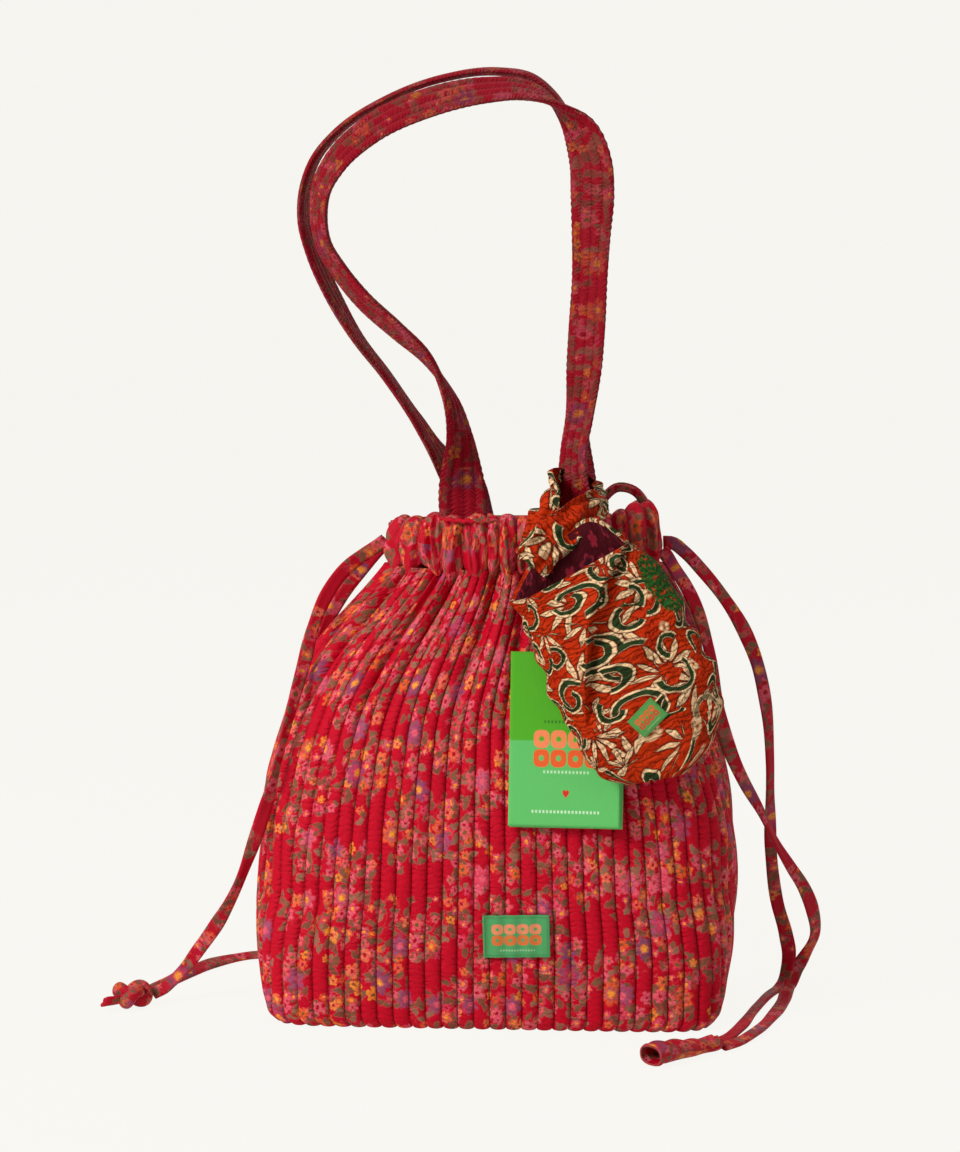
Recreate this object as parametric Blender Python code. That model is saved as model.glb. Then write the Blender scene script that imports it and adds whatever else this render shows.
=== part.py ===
"""A quilted cotton kinchaku: a drawstring pouch with two handles and a small pouch hung on one of them.

Metres, +Z up. The origin is the centre of the flat base, the front faces -Y and +X is on the
viewer's right. The gathered mouth leans a little to the right of the base, as the full bag does.
"""

import functools
import math

import bmesh
import bpy
import numpy as np
from mathutils import Vector

# Driving dimensions of the quilted body
BASE_WIDTH = 0.246
BASE_DEPTH = 0.134
BELLY_WIDTH = 0.294
BELLY_DEPTH = 0.158
BELLY_HEIGHT = 0.075
SHOULDER_WIDTH = 0.259
SHOULDER_DEPTH = 0.142
SHOULDER_HEIGHT = 0.173
GATHER_WIDTH = 0.214
GATHER_DEPTH = 0.118
GATHER_HEIGHT = 0.225
MOUTH_WIDTH = 0.158
MOUTH_DEPTH = 0.080
MOUTH_SHIFT = 0.016
BODY_HEIGHT = 0.268
BASE_SKIRT = 0.010
SKIRT_SPREAD = 0.62
CLOTH_THICKNESS = 0.004
BASE_SQUARENESS = 6.0
BELLY_SQUARENESS = 3.4
MOUTH_SQUARENESS = 2.3

# Quilting and gathers
CHANNELS = 84
CHANNELS_PER_FOLD = 3
RIB_HEIGHT = 0.0024
FOLD_DEPTH = 0.0075
FOLDS_START = 0.160

# Casing round the mouth, and the slit at each side that the drawstrings leave by
CASING_HEIGHT = 0.033
CASING_THICKNESS = 0.014
CASING_LAYER = 0.003
CASING_FLOOR = 0.0042
CASING_PLEATS = 9
PLEAT_DEPTH = 0.003
SLIT_WIDTH = 0.020
SEAM_GAP = 0.0003

# Handles
STRAP_WIDTH = 0.028
STRAP_THICKNESS = 0.0042
STRAP_CHANNELS = 3
STRAP_SPACING = 0.065
STRAP_RISE = 0.255

# Drawstrings
RING_CORD_WIDTH = 0.006
RING_CORD_THICKNESS = 0.003
RING_STEP = 0.012
RING_UPPER = 0.66
RING_LOWER = 0.36
RING_END_REACH = 0.0020
RING_END_SIDE = 0.0052
RING_TURN_SIDE = 0.0066
STANDING_LOOP_REACH = 0.0340
STANDING_LOOP_SIDE = 0.0074
STANDING_LOOP_RISE = 0.0210
TAIL_DIAMETER = 0.008
TAIL_STEP = 0.0195
TAIL_LEAD = 0.0035
KNOT_WIDTH = 0.027
KNOT_HEIGHT = 0.016
END_TUBE_LENGTH = 0.046
END_TUBE_WIDTH = 0.017
END_TUBE_HEIGHT = 0.010
END_TUBE_WALL = 0.0015

# Woven label and folded card tag
LABEL_WIDTH = 0.039
LABEL_HEIGHT = 0.025
LABEL_THICKNESS = 0.0008
LABEL_CENTRE_X = 0.016
LABEL_CENTRE_Z = 0.058
TAG_WIDTH = 0.065
TAG_HEIGHT = 0.100
TAG_CARD = 0.0006
TAG_FOLD_GAP = 0.0008
TAG_CENTRE_X = 0.044
TAG_DROP = 0.094
TAG_HOLE = 0.004
TAG_FOLD_BEND = 0.003
TAG_CENTRE_Z = BODY_HEIGHT - TAG_DROP

# Small pouch that hangs on the front handle
CHARM_LENGTH = 0.133
CHARM_WIDTH = 0.096
CHARM_MOUTH_WIDTH = 0.072
CHARM_THICKNESS = 0.031
CHARM_MOUTH_THICKNESS = 0.021
CHARM_WALL = 0.0022
CHARM_LINING = 0.0010
CHARM_LINING_SHARE = 0.82
CHARM_MOUTH_SIDE = 0.0025
CHARM_MOUTH_DROP = 0.0256
CHARM_TAG_GAP = 0.0017
CHARM_LEAN = math.radians(29)
CHARM_SLOPE = math.radians(7.5)
CHARM_BACK_RISE = 0.014
CHARM_FRONT_DROP = 0.006
CHARM_LOOP_HEIGHT = 0.022
CHARM_LOOP_ROOM = 0.0140
CHARM_LOOP_CLOTH = 0.0024
CHARM_LOOP_CLEARANCE = 0.0016
CHARM_LABEL_WIDTH = 0.021
CHARM_LABEL_HEIGHT = 0.016
CHARM_LABEL_ACROSS = -0.004
CHARM_LABEL_ALONG = 0.095

RIM_COLUMNS = CHANNELS * 2


def clear_scene():
    for thing in list(bpy.data.objects):
        bpy.data.objects.remove(thing, do_unlink=True)


def material(name, colour, roughness, metallic=0.0):
    made = bpy.data.materials.new(name)
    made.use_nodes = True
    shader = made.node_tree.nodes["Principled BSDF"]
    shader.inputs["Base Color"].default_value = (*colour, 1.0)
    shader.inputs["Roughness"].default_value = roughness
    shader.inputs["Metallic"].default_value = metallic
    made.diffuse_color = (*colour, 1.0)
    return made


def add_object(name, mesh, finish):
    thing = bpy.data.objects.new(name, mesh)
    bpy.context.collection.objects.link(thing)
    thing.data.materials.append(finish)
    return thing


def smooth_step(value):
    value = np.clip(value, 0.0, 1.0)
    return value * value * (3.0 - 2.0 * value)


def through_points(at, keys, values):
    """Smooth curve through the given values: a cubic between each two keys, with slopes from neighbours."""
    keys = np.asarray(keys, float)
    values = np.asarray(values, float)
    slopes = np.gradient(values, keys, axis=0)
    at = np.clip(np.asarray(at, float), keys[0], keys[-1])
    cell = np.clip(np.searchsorted(keys, at, side="right") - 1, 0, len(keys) - 2)
    span = keys[cell + 1] - keys[cell]
    u = (at - keys[cell]) / span
    if values.ndim > 1:
        u = u[:, None]
        span = span[:, None]
    start = values[cell] * (2 * u**3 - 3 * u**2 + 1) + slopes[cell] * span * (u**3 - 2 * u**2 + u)
    end = values[cell + 1] * (3 * u**2 - 2 * u**3) + slopes[cell + 1] * span * (u**3 - u**2)
    return start + end


def smooth_route(points, step, lead=0.0):
    """A smooth curve through a route's own points, with an even point about every step along it.

    A lead adds one point that far from each end, so that the end faces square to the route there.
    """
    points = np.asarray(points, float)
    chord = np.concatenate([[0.0], np.cumsum(np.linalg.norm(np.diff(points, axis=0), axis=1))])
    fine = through_points(np.linspace(0.0, chord[-1], 600), chord, points)
    run = np.concatenate([[0.0], np.cumsum(np.linalg.norm(np.diff(fine, axis=0), axis=1))])
    places = np.linspace(0.0, run[-1], max(4, int(round(run[-1] / step)) + 1))
    if lead > 0.0:
        places = np.concatenate([[0.0, lead], places[1:-1], [run[-1] - lead, run[-1]]])
    return np.stack([np.interp(places, run, fine[:, axis]) for axis in range(3)], axis=1)


def ring_mesh(name, rings, close_loop=False, fan_ends=False):
    """Closed mesh from equal rings of points: walls between neighbours, and flat ends unless it loops."""
    mesh = bmesh.new()
    rows = [[mesh.verts.new(point) for point in ring] for ring in rings]
    count = len(rows[0])
    pairs = list(zip(rows, rows[1:]))
    if close_loop:
        pairs.append((rows[-1], rows[0]))
    for lower, upper in pairs:
        for index in range(count):
            after = (index + 1) % count
            mesh.faces.new((lower[index], lower[after], upper[after], upper[index]))
    if fan_ends:
        for row in (rows[0], rows[-1]):
            hub = mesh.verts.new(sum((vertex.co for vertex in row), Vector()) / count)
            for index in range(count):
                mesh.faces.new((row[index], row[(index + 1) % count], hub))
    elif not close_loop:
        mesh.faces.new(list(reversed(rows[0])))
        mesh.faces.new(rows[-1])
    bmesh.ops.recalc_face_normals(mesh, faces=mesh.faces)
    data = bpy.data.meshes.new(name)
    mesh.to_mesh(data)
    mesh.free()
    data.shade_smooth()
    data.set_sharp_from_angle(angle=math.radians(50))
    return data


def profile_at(heights):
    """Half width, half depth, squareness and sideways shift of the body's plan at each height."""
    keys = [0.0, BASE_SKIRT, BELLY_HEIGHT, SHOULDER_HEIGHT, GATHER_HEIGHT, BODY_HEIGHT]
    skirt_width = BASE_WIDTH + SKIRT_SPREAD * (BELLY_WIDTH - BASE_WIDTH)
    skirt_depth = BASE_DEPTH + SKIRT_SPREAD * (BELLY_DEPTH - BASE_DEPTH)
    widths = [BASE_WIDTH, skirt_width, BELLY_WIDTH, SHOULDER_WIDTH, GATHER_WIDTH, MOUTH_WIDTH]
    depths = [BASE_DEPTH, skirt_depth, BELLY_DEPTH, SHOULDER_DEPTH, GATHER_DEPTH, MOUTH_DEPTH]
    half_width = through_points(heights, keys, np.array(widths) / 2)
    half_depth = through_points(heights, keys, np.array(depths) / 2)
    square = np.interp(heights, [0.0, BELLY_HEIGHT, BODY_HEIGHT],
                       [BASE_SQUARENESS, BELLY_SQUARENESS, MOUTH_SQUARENESS])
    shift = MOUTH_SHIFT * smooth_step((np.asarray(heights) - SHOULDER_HEIGHT)
                                      / (BODY_HEIGHT - SHOULDER_HEIGHT))
    return half_width, half_depth, square, shift


def plan_ring(half_width, half_depth, square, shift, fractions):
    """Points and outward normals of a superellipse, at fractions of its length from the front centre."""
    angle = np.linspace(-math.pi / 2, 1.5 * math.pi, 2881)
    cosine = np.cos(angle)
    sine = np.sin(angle)
    x = half_width * np.sign(cosine) * np.abs(cosine) ** (2 / square)
    y = half_depth * np.sign(sine) * np.abs(sine) ** (2 / square)
    run = np.concatenate([[0.0], np.cumsum(np.hypot(np.diff(x), np.diff(y)))])
    at = (np.asarray(fractions) % 1.0) * run[-1]
    reach = 0.0005 * run[-1]
    point = np.stack([np.interp(at, run, x), np.interp(at, run, y)], axis=1)
    before = (at - reach) % run[-1]
    after = (at + reach) % run[-1]
    tangent = np.stack([np.interp(after, run, x) - np.interp(before, run, x),
                        np.interp(after, run, y) - np.interp(before, run, y)], axis=1)
    tangent /= np.linalg.norm(tangent, axis=1)[:, None]
    normal = np.stack([tangent[:, 1], -tangent[:, 0]], axis=1)
    point[:, 0] += shift
    return point, normal


def body_ring(height, inset, fractions):
    """One ring of the quilted cloth: ribs between the stitch lines, and folds that deepen to the mouth."""
    half_width, half_depth, square, shift = (float(v) for v in profile_at(height))
    point, normal = plan_ring(half_width, half_depth, square, shift, fractions)
    rib = -0.5 * RIB_HEIGHT * np.cos(2 * math.pi * CHANNELS * fractions)
    rib *= smooth_step(height / BASE_SKIRT)
    folds = CHANNELS // CHANNELS_PER_FOLD
    fold = -0.5 * FOLD_DEPTH * np.cos(2 * math.pi * folds * fractions)
    fold *= smooth_step((height - FOLDS_START) / (BODY_HEIGHT - FOLDS_START))
    out = (fold + rib - inset)[:, None]
    flat = point + normal * out
    return np.column_stack([flat, np.full(len(flat), height)])


def build_body(finish):
    fractions = np.arange(RIM_COLUMNS) / RIM_COLUMNS
    outer = [0.0, 0.5 * BASE_SKIRT, 1.4 * BASE_SKIRT, BELLY_HEIGHT, SHOULDER_HEIGHT,
             0.5 * (SHOULDER_HEIGHT + GATHER_HEIGHT), GATHER_HEIGHT, BODY_HEIGHT]
    inner = [BODY_HEIGHT, GATHER_HEIGHT, SHOULDER_HEIGHT, BELLY_HEIGHT, CLOTH_THICKNESS]
    rings = [body_ring(height, 0.0, fractions) for height in outer]
    rings += [body_ring(height, CLOTH_THICKNESS, fractions) for height in inner]
    return add_object("quilted_body", ring_mesh("quilted_body", rings, fan_ends=True), finish)


def mouth_place(fractions):
    """Middle line of the casing: the body's mouth line, at fractions from the front centre."""
    return plan_ring((MOUTH_WIDTH - CLOTH_THICKNESS) / 2, (MOUTH_DEPTH - CLOTH_THICKNESS) / 2,
                     MOUTH_SQUARENESS, MOUTH_SHIFT, fractions)


def slit_fraction():
    """Fraction of the mouth line at which the right-hand slit starts on the front."""
    fractions = np.linspace(0.0, 0.25, 2001)
    point, _ = mouth_place(fractions)
    return float(fractions[np.argmin(np.abs(point[:, 1] + SLIT_WIDTH / 2))])


def casing_section():
    """Outer and inner loops of the casing's section, as (outward, up) from its middle line and foot."""
    half = CASING_THICKNESS / 2
    high = CASING_HEIGHT
    layer = CASING_LAYER
    outer = [(0.45 * half, 0.0), (half, 0.22 * high), (1.1 * half, 0.50 * high), (0.9 * half, 0.80 * high),
             (0.40 * half, high), (-0.40 * half, high), (-0.9 * half, 0.80 * high), (-half, 0.30 * high),
             (-0.45 * half, 0.0)]
    room = half - layer
    inner = [(0.5 * room, CASING_FLOOR), (room, 0.30 * high), (room, 0.50 * high), (room, 0.70 * high),
             (0.5 * room, high - layer), (-0.5 * room, high - layer), (-room, 0.70 * high),
             (-room, 0.30 * high), (-0.5 * room, CASING_FLOOR)]
    return outer, inner


def build_casing(name, front, finish):
    """Half of the gathered casing: a cloth tube round one side of the mouth, open at both slits."""
    slit = slit_fraction()
    start = -slit if front else 0.5 - slit
    stop = start + 2 * slit
    stations = np.linspace(start, stop, 3 * CASING_PLEATS + 1)
    point, normal = mouth_place(stations)
    foot = BODY_HEIGHT + SEAM_GAP
    wave = np.cos(2 * math.pi * CASING_PLEATS * (stations - start) / (stop - start))
    outer, inner = casing_section()
    mesh = bmesh.new()
    rows = []
    for index in range(len(stations)):
        ring = []
        for out, up in outer:
            puff = PLEAT_DEPTH * 0.5 * (1.0 - wave[index]) * math.sin(math.pi * up / CASING_HEIGHT)
            out = out + puff if out > 0 else out
            flat = point[index] + normal[index] * out
            ring.append(mesh.verts.new((flat[0], flat[1], foot + up)))
        hollow = []
        for out, up in inner:
            flat = point[index] + normal[index] * out
            hollow.append(mesh.verts.new((flat[0], flat[1], foot + up)))
        rows.append((ring, hollow))
    sides = len(outer)
    for (ring, hollow), (next_ring, next_hollow) in zip(rows, rows[1:]):
        for index in range(sides):
            other = (index + 1) % sides
            mesh.faces.new((ring[index], ring[other], next_ring[other], next_ring[index]))
            mesh.faces.new((hollow[other], hollow[index], next_hollow[index], next_hollow[other]))
    for index in range(sides):
        other = (index + 1) % sides
        (ring, hollow), (last_ring, last_hollow) = rows[0], rows[-1]
        mesh.faces.new((ring[other], ring[index], hollow[index], hollow[other]))
        mesh.faces.new((last_ring[index], last_ring[other], last_hollow[other], last_hollow[index]))
    bmesh.ops.recalc_face_normals(mesh, faces=mesh.faces)
    data = bpy.data.meshes.new(name)
    mesh.to_mesh(data)
    mesh.free()
    data.shade_smooth()
    return add_object(name, data, finish)


def frames_along(route):
    """Unit direction of travel at every point of a route."""
    ahead = np.gradient(route, axis=0)
    return ahead / np.linalg.norm(ahead, axis=1)[:, None]


def strap_section():
    """Section of a quilted strap, as (across, through): a ridge in each channel on both faces."""
    half = STRAP_WIDTH / 2
    count = STRAP_CHANNELS * 2 + 1
    across = np.linspace(-half, half, count)
    through = np.where(np.arange(count) % 2 == 1, STRAP_THICKNESS / 2, 0.32 * STRAP_THICKNESS)
    face = list(zip(across, through))
    return face + [(a, -t) for a, t in reversed(face)]


def strap_foot(front, right):
    """Where a strap's end stands on the casing, and the slope of the casing there."""
    fractions = np.linspace(0.0, 0.25, 1001)
    if not front:
        fractions = 0.5 - fractions
    point, normal = mouth_place(fractions)
    index = int(np.argmin(np.abs(point[:, 0] - MOUTH_SHIFT - STRAP_SPACING / 2)))
    offset = point[index, 0] - MOUTH_SHIFT
    x = MOUTH_SHIFT + (offset if right else -offset)
    slope = math.atan2(normal[index, 0], abs(normal[index, 1]))
    return x, point[index, 1], slope


def build_strap(name, front, stations, finish):
    """A flat strap along an arch, whose stations give its place, its rise and the turn of its width."""
    left_x, foot_y, slope = strap_foot(front, False)
    right_x, _, _ = strap_foot(front, True)
    foot_z = BODY_HEIGHT + CASING_HEIGHT + 2 * SEAM_GAP
    turn = -slope if front else slope
    side = 1.0 if front else -1.0
    route = [(left_x, foot_y, foot_z)]
    route += [(x * STRAP_RISE, foot_y + side * inward * MOUTH_DEPTH, foot_z + rise * STRAP_RISE)
              for x, inward, rise, _ in stations]
    route.append((right_x, foot_y, foot_z))
    turns = [turn] + [math.radians(s[3]) for s in stations] + [turn]
    route = np.array(route)
    chord = np.concatenate([[0.0], np.cumsum(np.linalg.norm(np.diff(route, axis=0), axis=1))])
    places = np.linspace(0.0, chord[-1], 26)
    centre = through_points(places, chord, route)
    angle = through_points(places, chord, np.array(turns))
    ahead = frames_along(centre)
    ahead[0] = (0, 0, 1)
    ahead[-1] = (0, 0, -1)
    level = np.stack([ahead[:, 2], np.zeros(len(ahead)), -ahead[:, 0]], axis=1)
    level /= np.linalg.norm(level, axis=1)[:, None]
    depth = np.cross(ahead, level)
    depth *= np.sign(depth[:, 1])[:, None]
    width = level * np.cos(angle)[:, None] + depth * np.sin(angle)[:, None]
    face = np.cross(width, ahead)
    rings = [[centre[i] + width[i] * a + face[i] * t for a, t in strap_section()] for i in range(len(centre))]
    return add_object(name, ring_mesh(name, rings), finish)


def build_ribbon(name, route, finish):
    """A narrow flat cord of six-sided section that turns no more than its route makes it."""
    centre = smooth_route(route, RING_STEP)
    ahead = frames_along(centre)
    rise = np.zeros_like(ahead)
    upright = np.array([0.0, 0.0, 1.0])
    for index in range(len(ahead)):
        upright = upright - ahead[index] * upright.dot(ahead[index])
        upright /= np.linalg.norm(upright)
        rise[index] = upright
    side = np.cross(ahead, rise)
    half_w = RING_CORD_WIDTH / 2
    half_t = RING_CORD_THICKNESS / 2
    section = [(half_t, -0.5 * half_w), (half_t, 0.5 * half_w), (0, half_w),
               (-half_t, 0.5 * half_w), (-half_t, -0.5 * half_w), (0, -half_w)]
    rings = [[centre[i] + side[i] * a + rise[i] * b for a, b in section] for i in range(len(centre))]
    return add_object(name, ring_mesh(name, rings), finish)


def casing_run(front, from_left, height, sag=0.0):
    """Points of a drawstring's run inside one half of the casing, which sags towards its middle."""
    slit = slit_fraction()
    start = -slit if front else 0.5 + slit
    stop = slit if front else 0.5 - slit
    stations = np.linspace(start, stop, 13)
    point, _ = mouth_place(stations)
    drop = sag * np.sin(np.linspace(0.0, math.pi, len(stations)))
    run = [(x, y, height - low) for (x, y), low in zip(point, drop)]
    return run if from_left else list(reversed(run))


# Turn of the left drawstring above the right slit: shares of its reach inward, its spread and its rise
STANDING_LOOP = [(0.112, 1.000, 0.010), (0.135, 0.676, 0.190), (0.206, 0.568, 0.571),
                 (0.412, 0.568, 0.929), (0.706, 0.541, 1.000), (0.912, 0.405, 0.762)]


def build_rings(finish):
    """The held part of each drawstring: once round the mouth inside the casing, with its turn at one slit."""
    foot = BODY_HEIGHT + SEAM_GAP
    upper = foot + RING_UPPER * CASING_HEIGHT
    lower = foot + RING_LOWER * CASING_HEIGHT
    sag = lower - (foot + CASING_FLOOR + SEAM_GAP + RING_CORD_WIDTH / 2)
    left = MOUTH_SHIFT - MOUTH_WIDTH / 2
    right = MOUTH_SHIFT + MOUTH_WIDTH / 2
    reach = RING_END_REACH
    lead = RING_END_SIDE
    side = RING_TURN_SIDE
    rise = [(right - STANDING_LOOP_REACH * x, STANDING_LOOP_SIDE * y, upper + STANDING_LOOP_RISE * z)
            for x, y, z in STANDING_LOOP]
    route = [(left - reach, -lead, upper), (left + 0.4 * reach, -side, upper)]
    route += casing_run(True, True, upper)
    route += [(x, -y, z) for x, y, z in rise]
    route += [(right - STANDING_LOOP_REACH, 0.0, upper + 0.6 * STANDING_LOOP_RISE)]
    route += reversed(rise)
    route += casing_run(False, False, upper)
    route += [(left + 0.4 * reach, side, upper), (left - reach, lead, upper)]
    build_ribbon("drawstring_left_ring", route, finish)
    route = [(right + reach, -lead, lower), (right - 0.4 * reach, -side, lower)]
    route += casing_run(True, False, lower, sag)
    route += [(left + 0.5 * reach, -lead, lower), (left + 0.1 * reach, 0.0, lower),
              (left + 0.5 * reach, lead, lower)]
    route += casing_run(False, True, lower, sag)
    route += [(right - 0.4 * reach, side, lower), (right + reach, lead, lower)]
    build_ribbon("drawstring_right_ring", route, finish)


# Routes of the four free tails, from the slit to the knot or the end tube
LEFT_TAIL_FRONT = [(-0.0672, -0.0052, 0.2901), (-0.0710, -0.0058, 0.2895), (-0.0790, -0.0090, 0.2820),
                   (-0.0890, -0.0150, 0.2690), (-0.1000, -0.0240, 0.2530), (-0.1075, -0.0350, 0.2330),
                   (-0.1125, -0.0440, 0.2110), (-0.1175, -0.0510, 0.1910), (-0.1245, -0.0560, 0.1640),
                   (-0.1310, -0.0580, 0.1380), (-0.1400, -0.0540, 0.1070), (-0.1510, -0.0440, 0.0775),
                   (-0.1630, -0.0330, 0.0540), (-0.1775, -0.0240, 0.0330), (-0.1900, -0.0205, 0.0180),
                   (-0.2000, -0.0220, 0.0105), (-0.2079, -0.0268, 0.0083)]
LEFT_TAIL_BACK = [(-0.0672, 0.0052, 0.2901), (-0.0710, 0.0056, 0.2895), (-0.0830, 0.0110, 0.2770),
                  (-0.0960, 0.0180, 0.2570), (-0.1080, 0.0290, 0.2330), (-0.1185, 0.0430, 0.2000),
                  (-0.1260, 0.0560, 0.1600), (-0.1315, 0.0680, 0.1150), (-0.1350, 0.0780, 0.0720),
                  (-0.1385, 0.0870, 0.0380), (-0.1440, 0.0930, 0.0150), (-0.1525, 0.0960, 0.0058),
                  (-0.1635, 0.0930, 0.0046), (-0.1755, 0.0825, 0.0046), (-0.1855, 0.0680, 0.0046),
                  (-0.1965, 0.0420, 0.0046), (-0.2060, 0.0150, 0.0046), (-0.2130, -0.0040, 0.0048),
                  (-0.2175, -0.0150, 0.0058), (-0.2194, -0.0223, 0.0068)]
RIGHT_TAIL_BACK = [(0.0987, 0.0052, 0.2802), (0.1040, 0.0058, 0.2800), (0.1125, 0.0070, 0.2760),
                   (0.1235, 0.0090, 0.2655), (0.1375, 0.0110, 0.2495), (0.1475, 0.0120, 0.2310),
                   (0.1545, 0.0130, 0.2100), (0.1615, 0.0140, 0.1790), (0.1640, 0.0180, 0.1470),
                   (0.1645, 0.0230, 0.1180), (0.1655, 0.0280, 0.0870), (0.1695, 0.0340, 0.0560),
                   (0.1755, 0.0410, 0.0330), (0.1775, 0.0450, 0.0190), (0.1755, 0.0420, 0.0090),
                   (0.1720, 0.0340, 0.0052), (0.1665, 0.0190, 0.0046), (0.1585, -0.0110, 0.0046),
                   (0.1525, -0.0380, 0.0046), (0.1455, -0.0690, 0.0046), (0.1375, -0.0920, 0.0046),
                   (0.1296, -0.1046, 0.0048)]
RIGHT_TAIL_FRONT = [(0.0995, -0.0052, 0.2802), (0.1030, -0.0060, 0.2780), (0.1075, -0.0080, 0.2700),
                    (0.1140, -0.0100, 0.2590), (0.1215, -0.0110, 0.2440), (0.1300, -0.0120, 0.2170),
                    (0.1385, -0.0120, 0.1820), (0.1435, -0.0100, 0.1600), (0.1510, -0.0040, 0.1390),
                    (0.1595, 0.0000, 0.1190), (0.1675, 0.0050, 0.0980), (0.1775, 0.0110, 0.0830),
                    (0.1870, 0.0180, 0.0690), (0.1925, 0.0270, 0.0520), (0.1940, 0.0370, 0.0340),
                    (0.1915, 0.0440, 0.0195), (0.1880, 0.0440, 0.0095), (0.1845, 0.0370, 0.0052),
                    (0.1815, 0.0240, 0.0046), (0.1790, -0.0050, 0.0046), (0.1725, -0.0390, 0.0046),
                    (0.1585, -0.0800, 0.0046), (0.1440, -0.1040, 0.0046), (0.1363, -0.1110, 0.0048)]
KNOT_CENTRE = (-0.2185, -0.0362, 0.0084)
END_TUBE_START = (0.1325, -0.1084, 0.0053)
END_TUBE_HEADING = (-0.68, -0.733)


def build_tail(name, route, finish):
    curve = bpy.data.curves.new(name, "CURVE")
    curve.dimensions = "3D"
    curve.bevel_depth = TAIL_DIAMETER / 2
    curve.bevel_resolution = 2
    curve.use_fill_caps = True
    points = smooth_route(route, TAIL_STEP, TAIL_LEAD)
    spline = curve.splines.new("POLY")
    spline.points.add(len(points) - 1)
    for target, point in zip(spline.points, points):
        target.co = (*point, 1.0)
    return add_object(name, curve, finish)


def build_knot(finish):
    """The knot that joins the left tails: a round lump, flattened where it lies."""
    mesh = bmesh.new()
    bmesh.ops.create_uvsphere(mesh, u_segments=12, v_segments=8, radius=1.0)
    lobes = 3
    for vertex in mesh.verts:
        around = math.atan2(vertex.co.y, vertex.co.x)
        swell = 1.0 + 0.07 * math.cos(lobes * around) * math.cos(vertex.co.z * math.pi / 2)
        vertex.co.x = KNOT_CENTRE[0] + vertex.co.x * KNOT_WIDTH / 2 * swell
        vertex.co.y = KNOT_CENTRE[1] + vertex.co.y * KNOT_WIDTH / 2 * swell
        vertex.co.z = KNOT_CENTRE[2] + vertex.co.z * KNOT_HEIGHT / 2
    data = bpy.data.meshes.new("drawstring_left_knot")
    mesh.to_mesh(data)
    mesh.free()
    data.shade_smooth()
    return add_object("drawstring_left_knot", data, finish)


def build_end_tube(finish):
    """The cloth tab over both right tails: a flat tube, sewn shut at the cords and open at its other end."""
    heading = np.array([*END_TUBE_HEADING, 0.0])
    heading /= np.linalg.norm(heading)
    across = np.array([-heading[1], heading[0], 0.0])
    up = np.array([0.0, 0.0, 1.0])
    angles = np.linspace(0.0, 2 * math.pi, 16, endpoint=False)

    def ring(along, inset):
        half_w = END_TUBE_WIDTH / 2 - inset
        half_h = END_TUBE_HEIGHT / 2 - inset
        centre = np.array(END_TUBE_START) + heading * along
        return [centre + across * half_w * math.cos(a) - up * half_h * math.sin(a) for a in angles]

    wall = END_TUBE_WALL
    rings = [ring(0.0, wall * 0.6), ring(0.0015, 0.0), ring(END_TUBE_LENGTH, 0.0),
             ring(END_TUBE_LENGTH, wall), ring(3 * wall, wall)]
    return add_object("drawstring_right_end_tube", ring_mesh("drawstring_right_end_tube", rings), finish)


def front_surface(x, height):
    """Depth of the quilted front, ribs and folds included, at a place and height."""
    fractions = np.linspace(-0.25, 0.25, 1601)
    ring = body_ring(height, 0.0, fractions)
    return float(np.interp(x, ring[:, 0], ring[:, 1]))


@functools.lru_cache(maxsize=None)
def resting_plane(centre_x, centre_z, width, height):
    """Depth and slope of a flat piece that leans on the quilted front and just clears its ribs."""
    heights = np.linspace(centre_z - height / 2, centre_z + height / 2, 15)
    xs = np.linspace(centre_x - width / 2, centre_x + width / 2, 61)
    depth = np.array([[front_surface(x, z) for x in xs] for z in heights]).min(axis=1)
    slope = (depth[-1] - depth[0]) / height
    offset = (depth - slope * (heights - centre_z)).min()
    return offset, slope


def build_label(finish):
    """Woven label sewn on the front, flat over the ribs."""
    depth, slope = resting_plane(LABEL_CENTRE_X, LABEL_CENTRE_Z, LABEL_WIDTH, LABEL_HEIGHT)
    rows = np.linspace(-LABEL_HEIGHT / 2, LABEL_HEIGHT / 2, 3)
    back = [(depth + slope * z - SEAM_GAP, LABEL_CENTRE_Z + z) for z in rows]
    front = [(y - LABEL_THICKNESS, z) for y, z in reversed(back)]
    xs = (LABEL_CENTRE_X - LABEL_WIDTH / 2, LABEL_CENTRE_X + LABEL_WIDTH / 2)
    rings = [[(x, y, z) for y, z in back + front] for x in xs]
    return add_object("woven_label", ring_mesh("woven_label", rings), finish)


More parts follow.
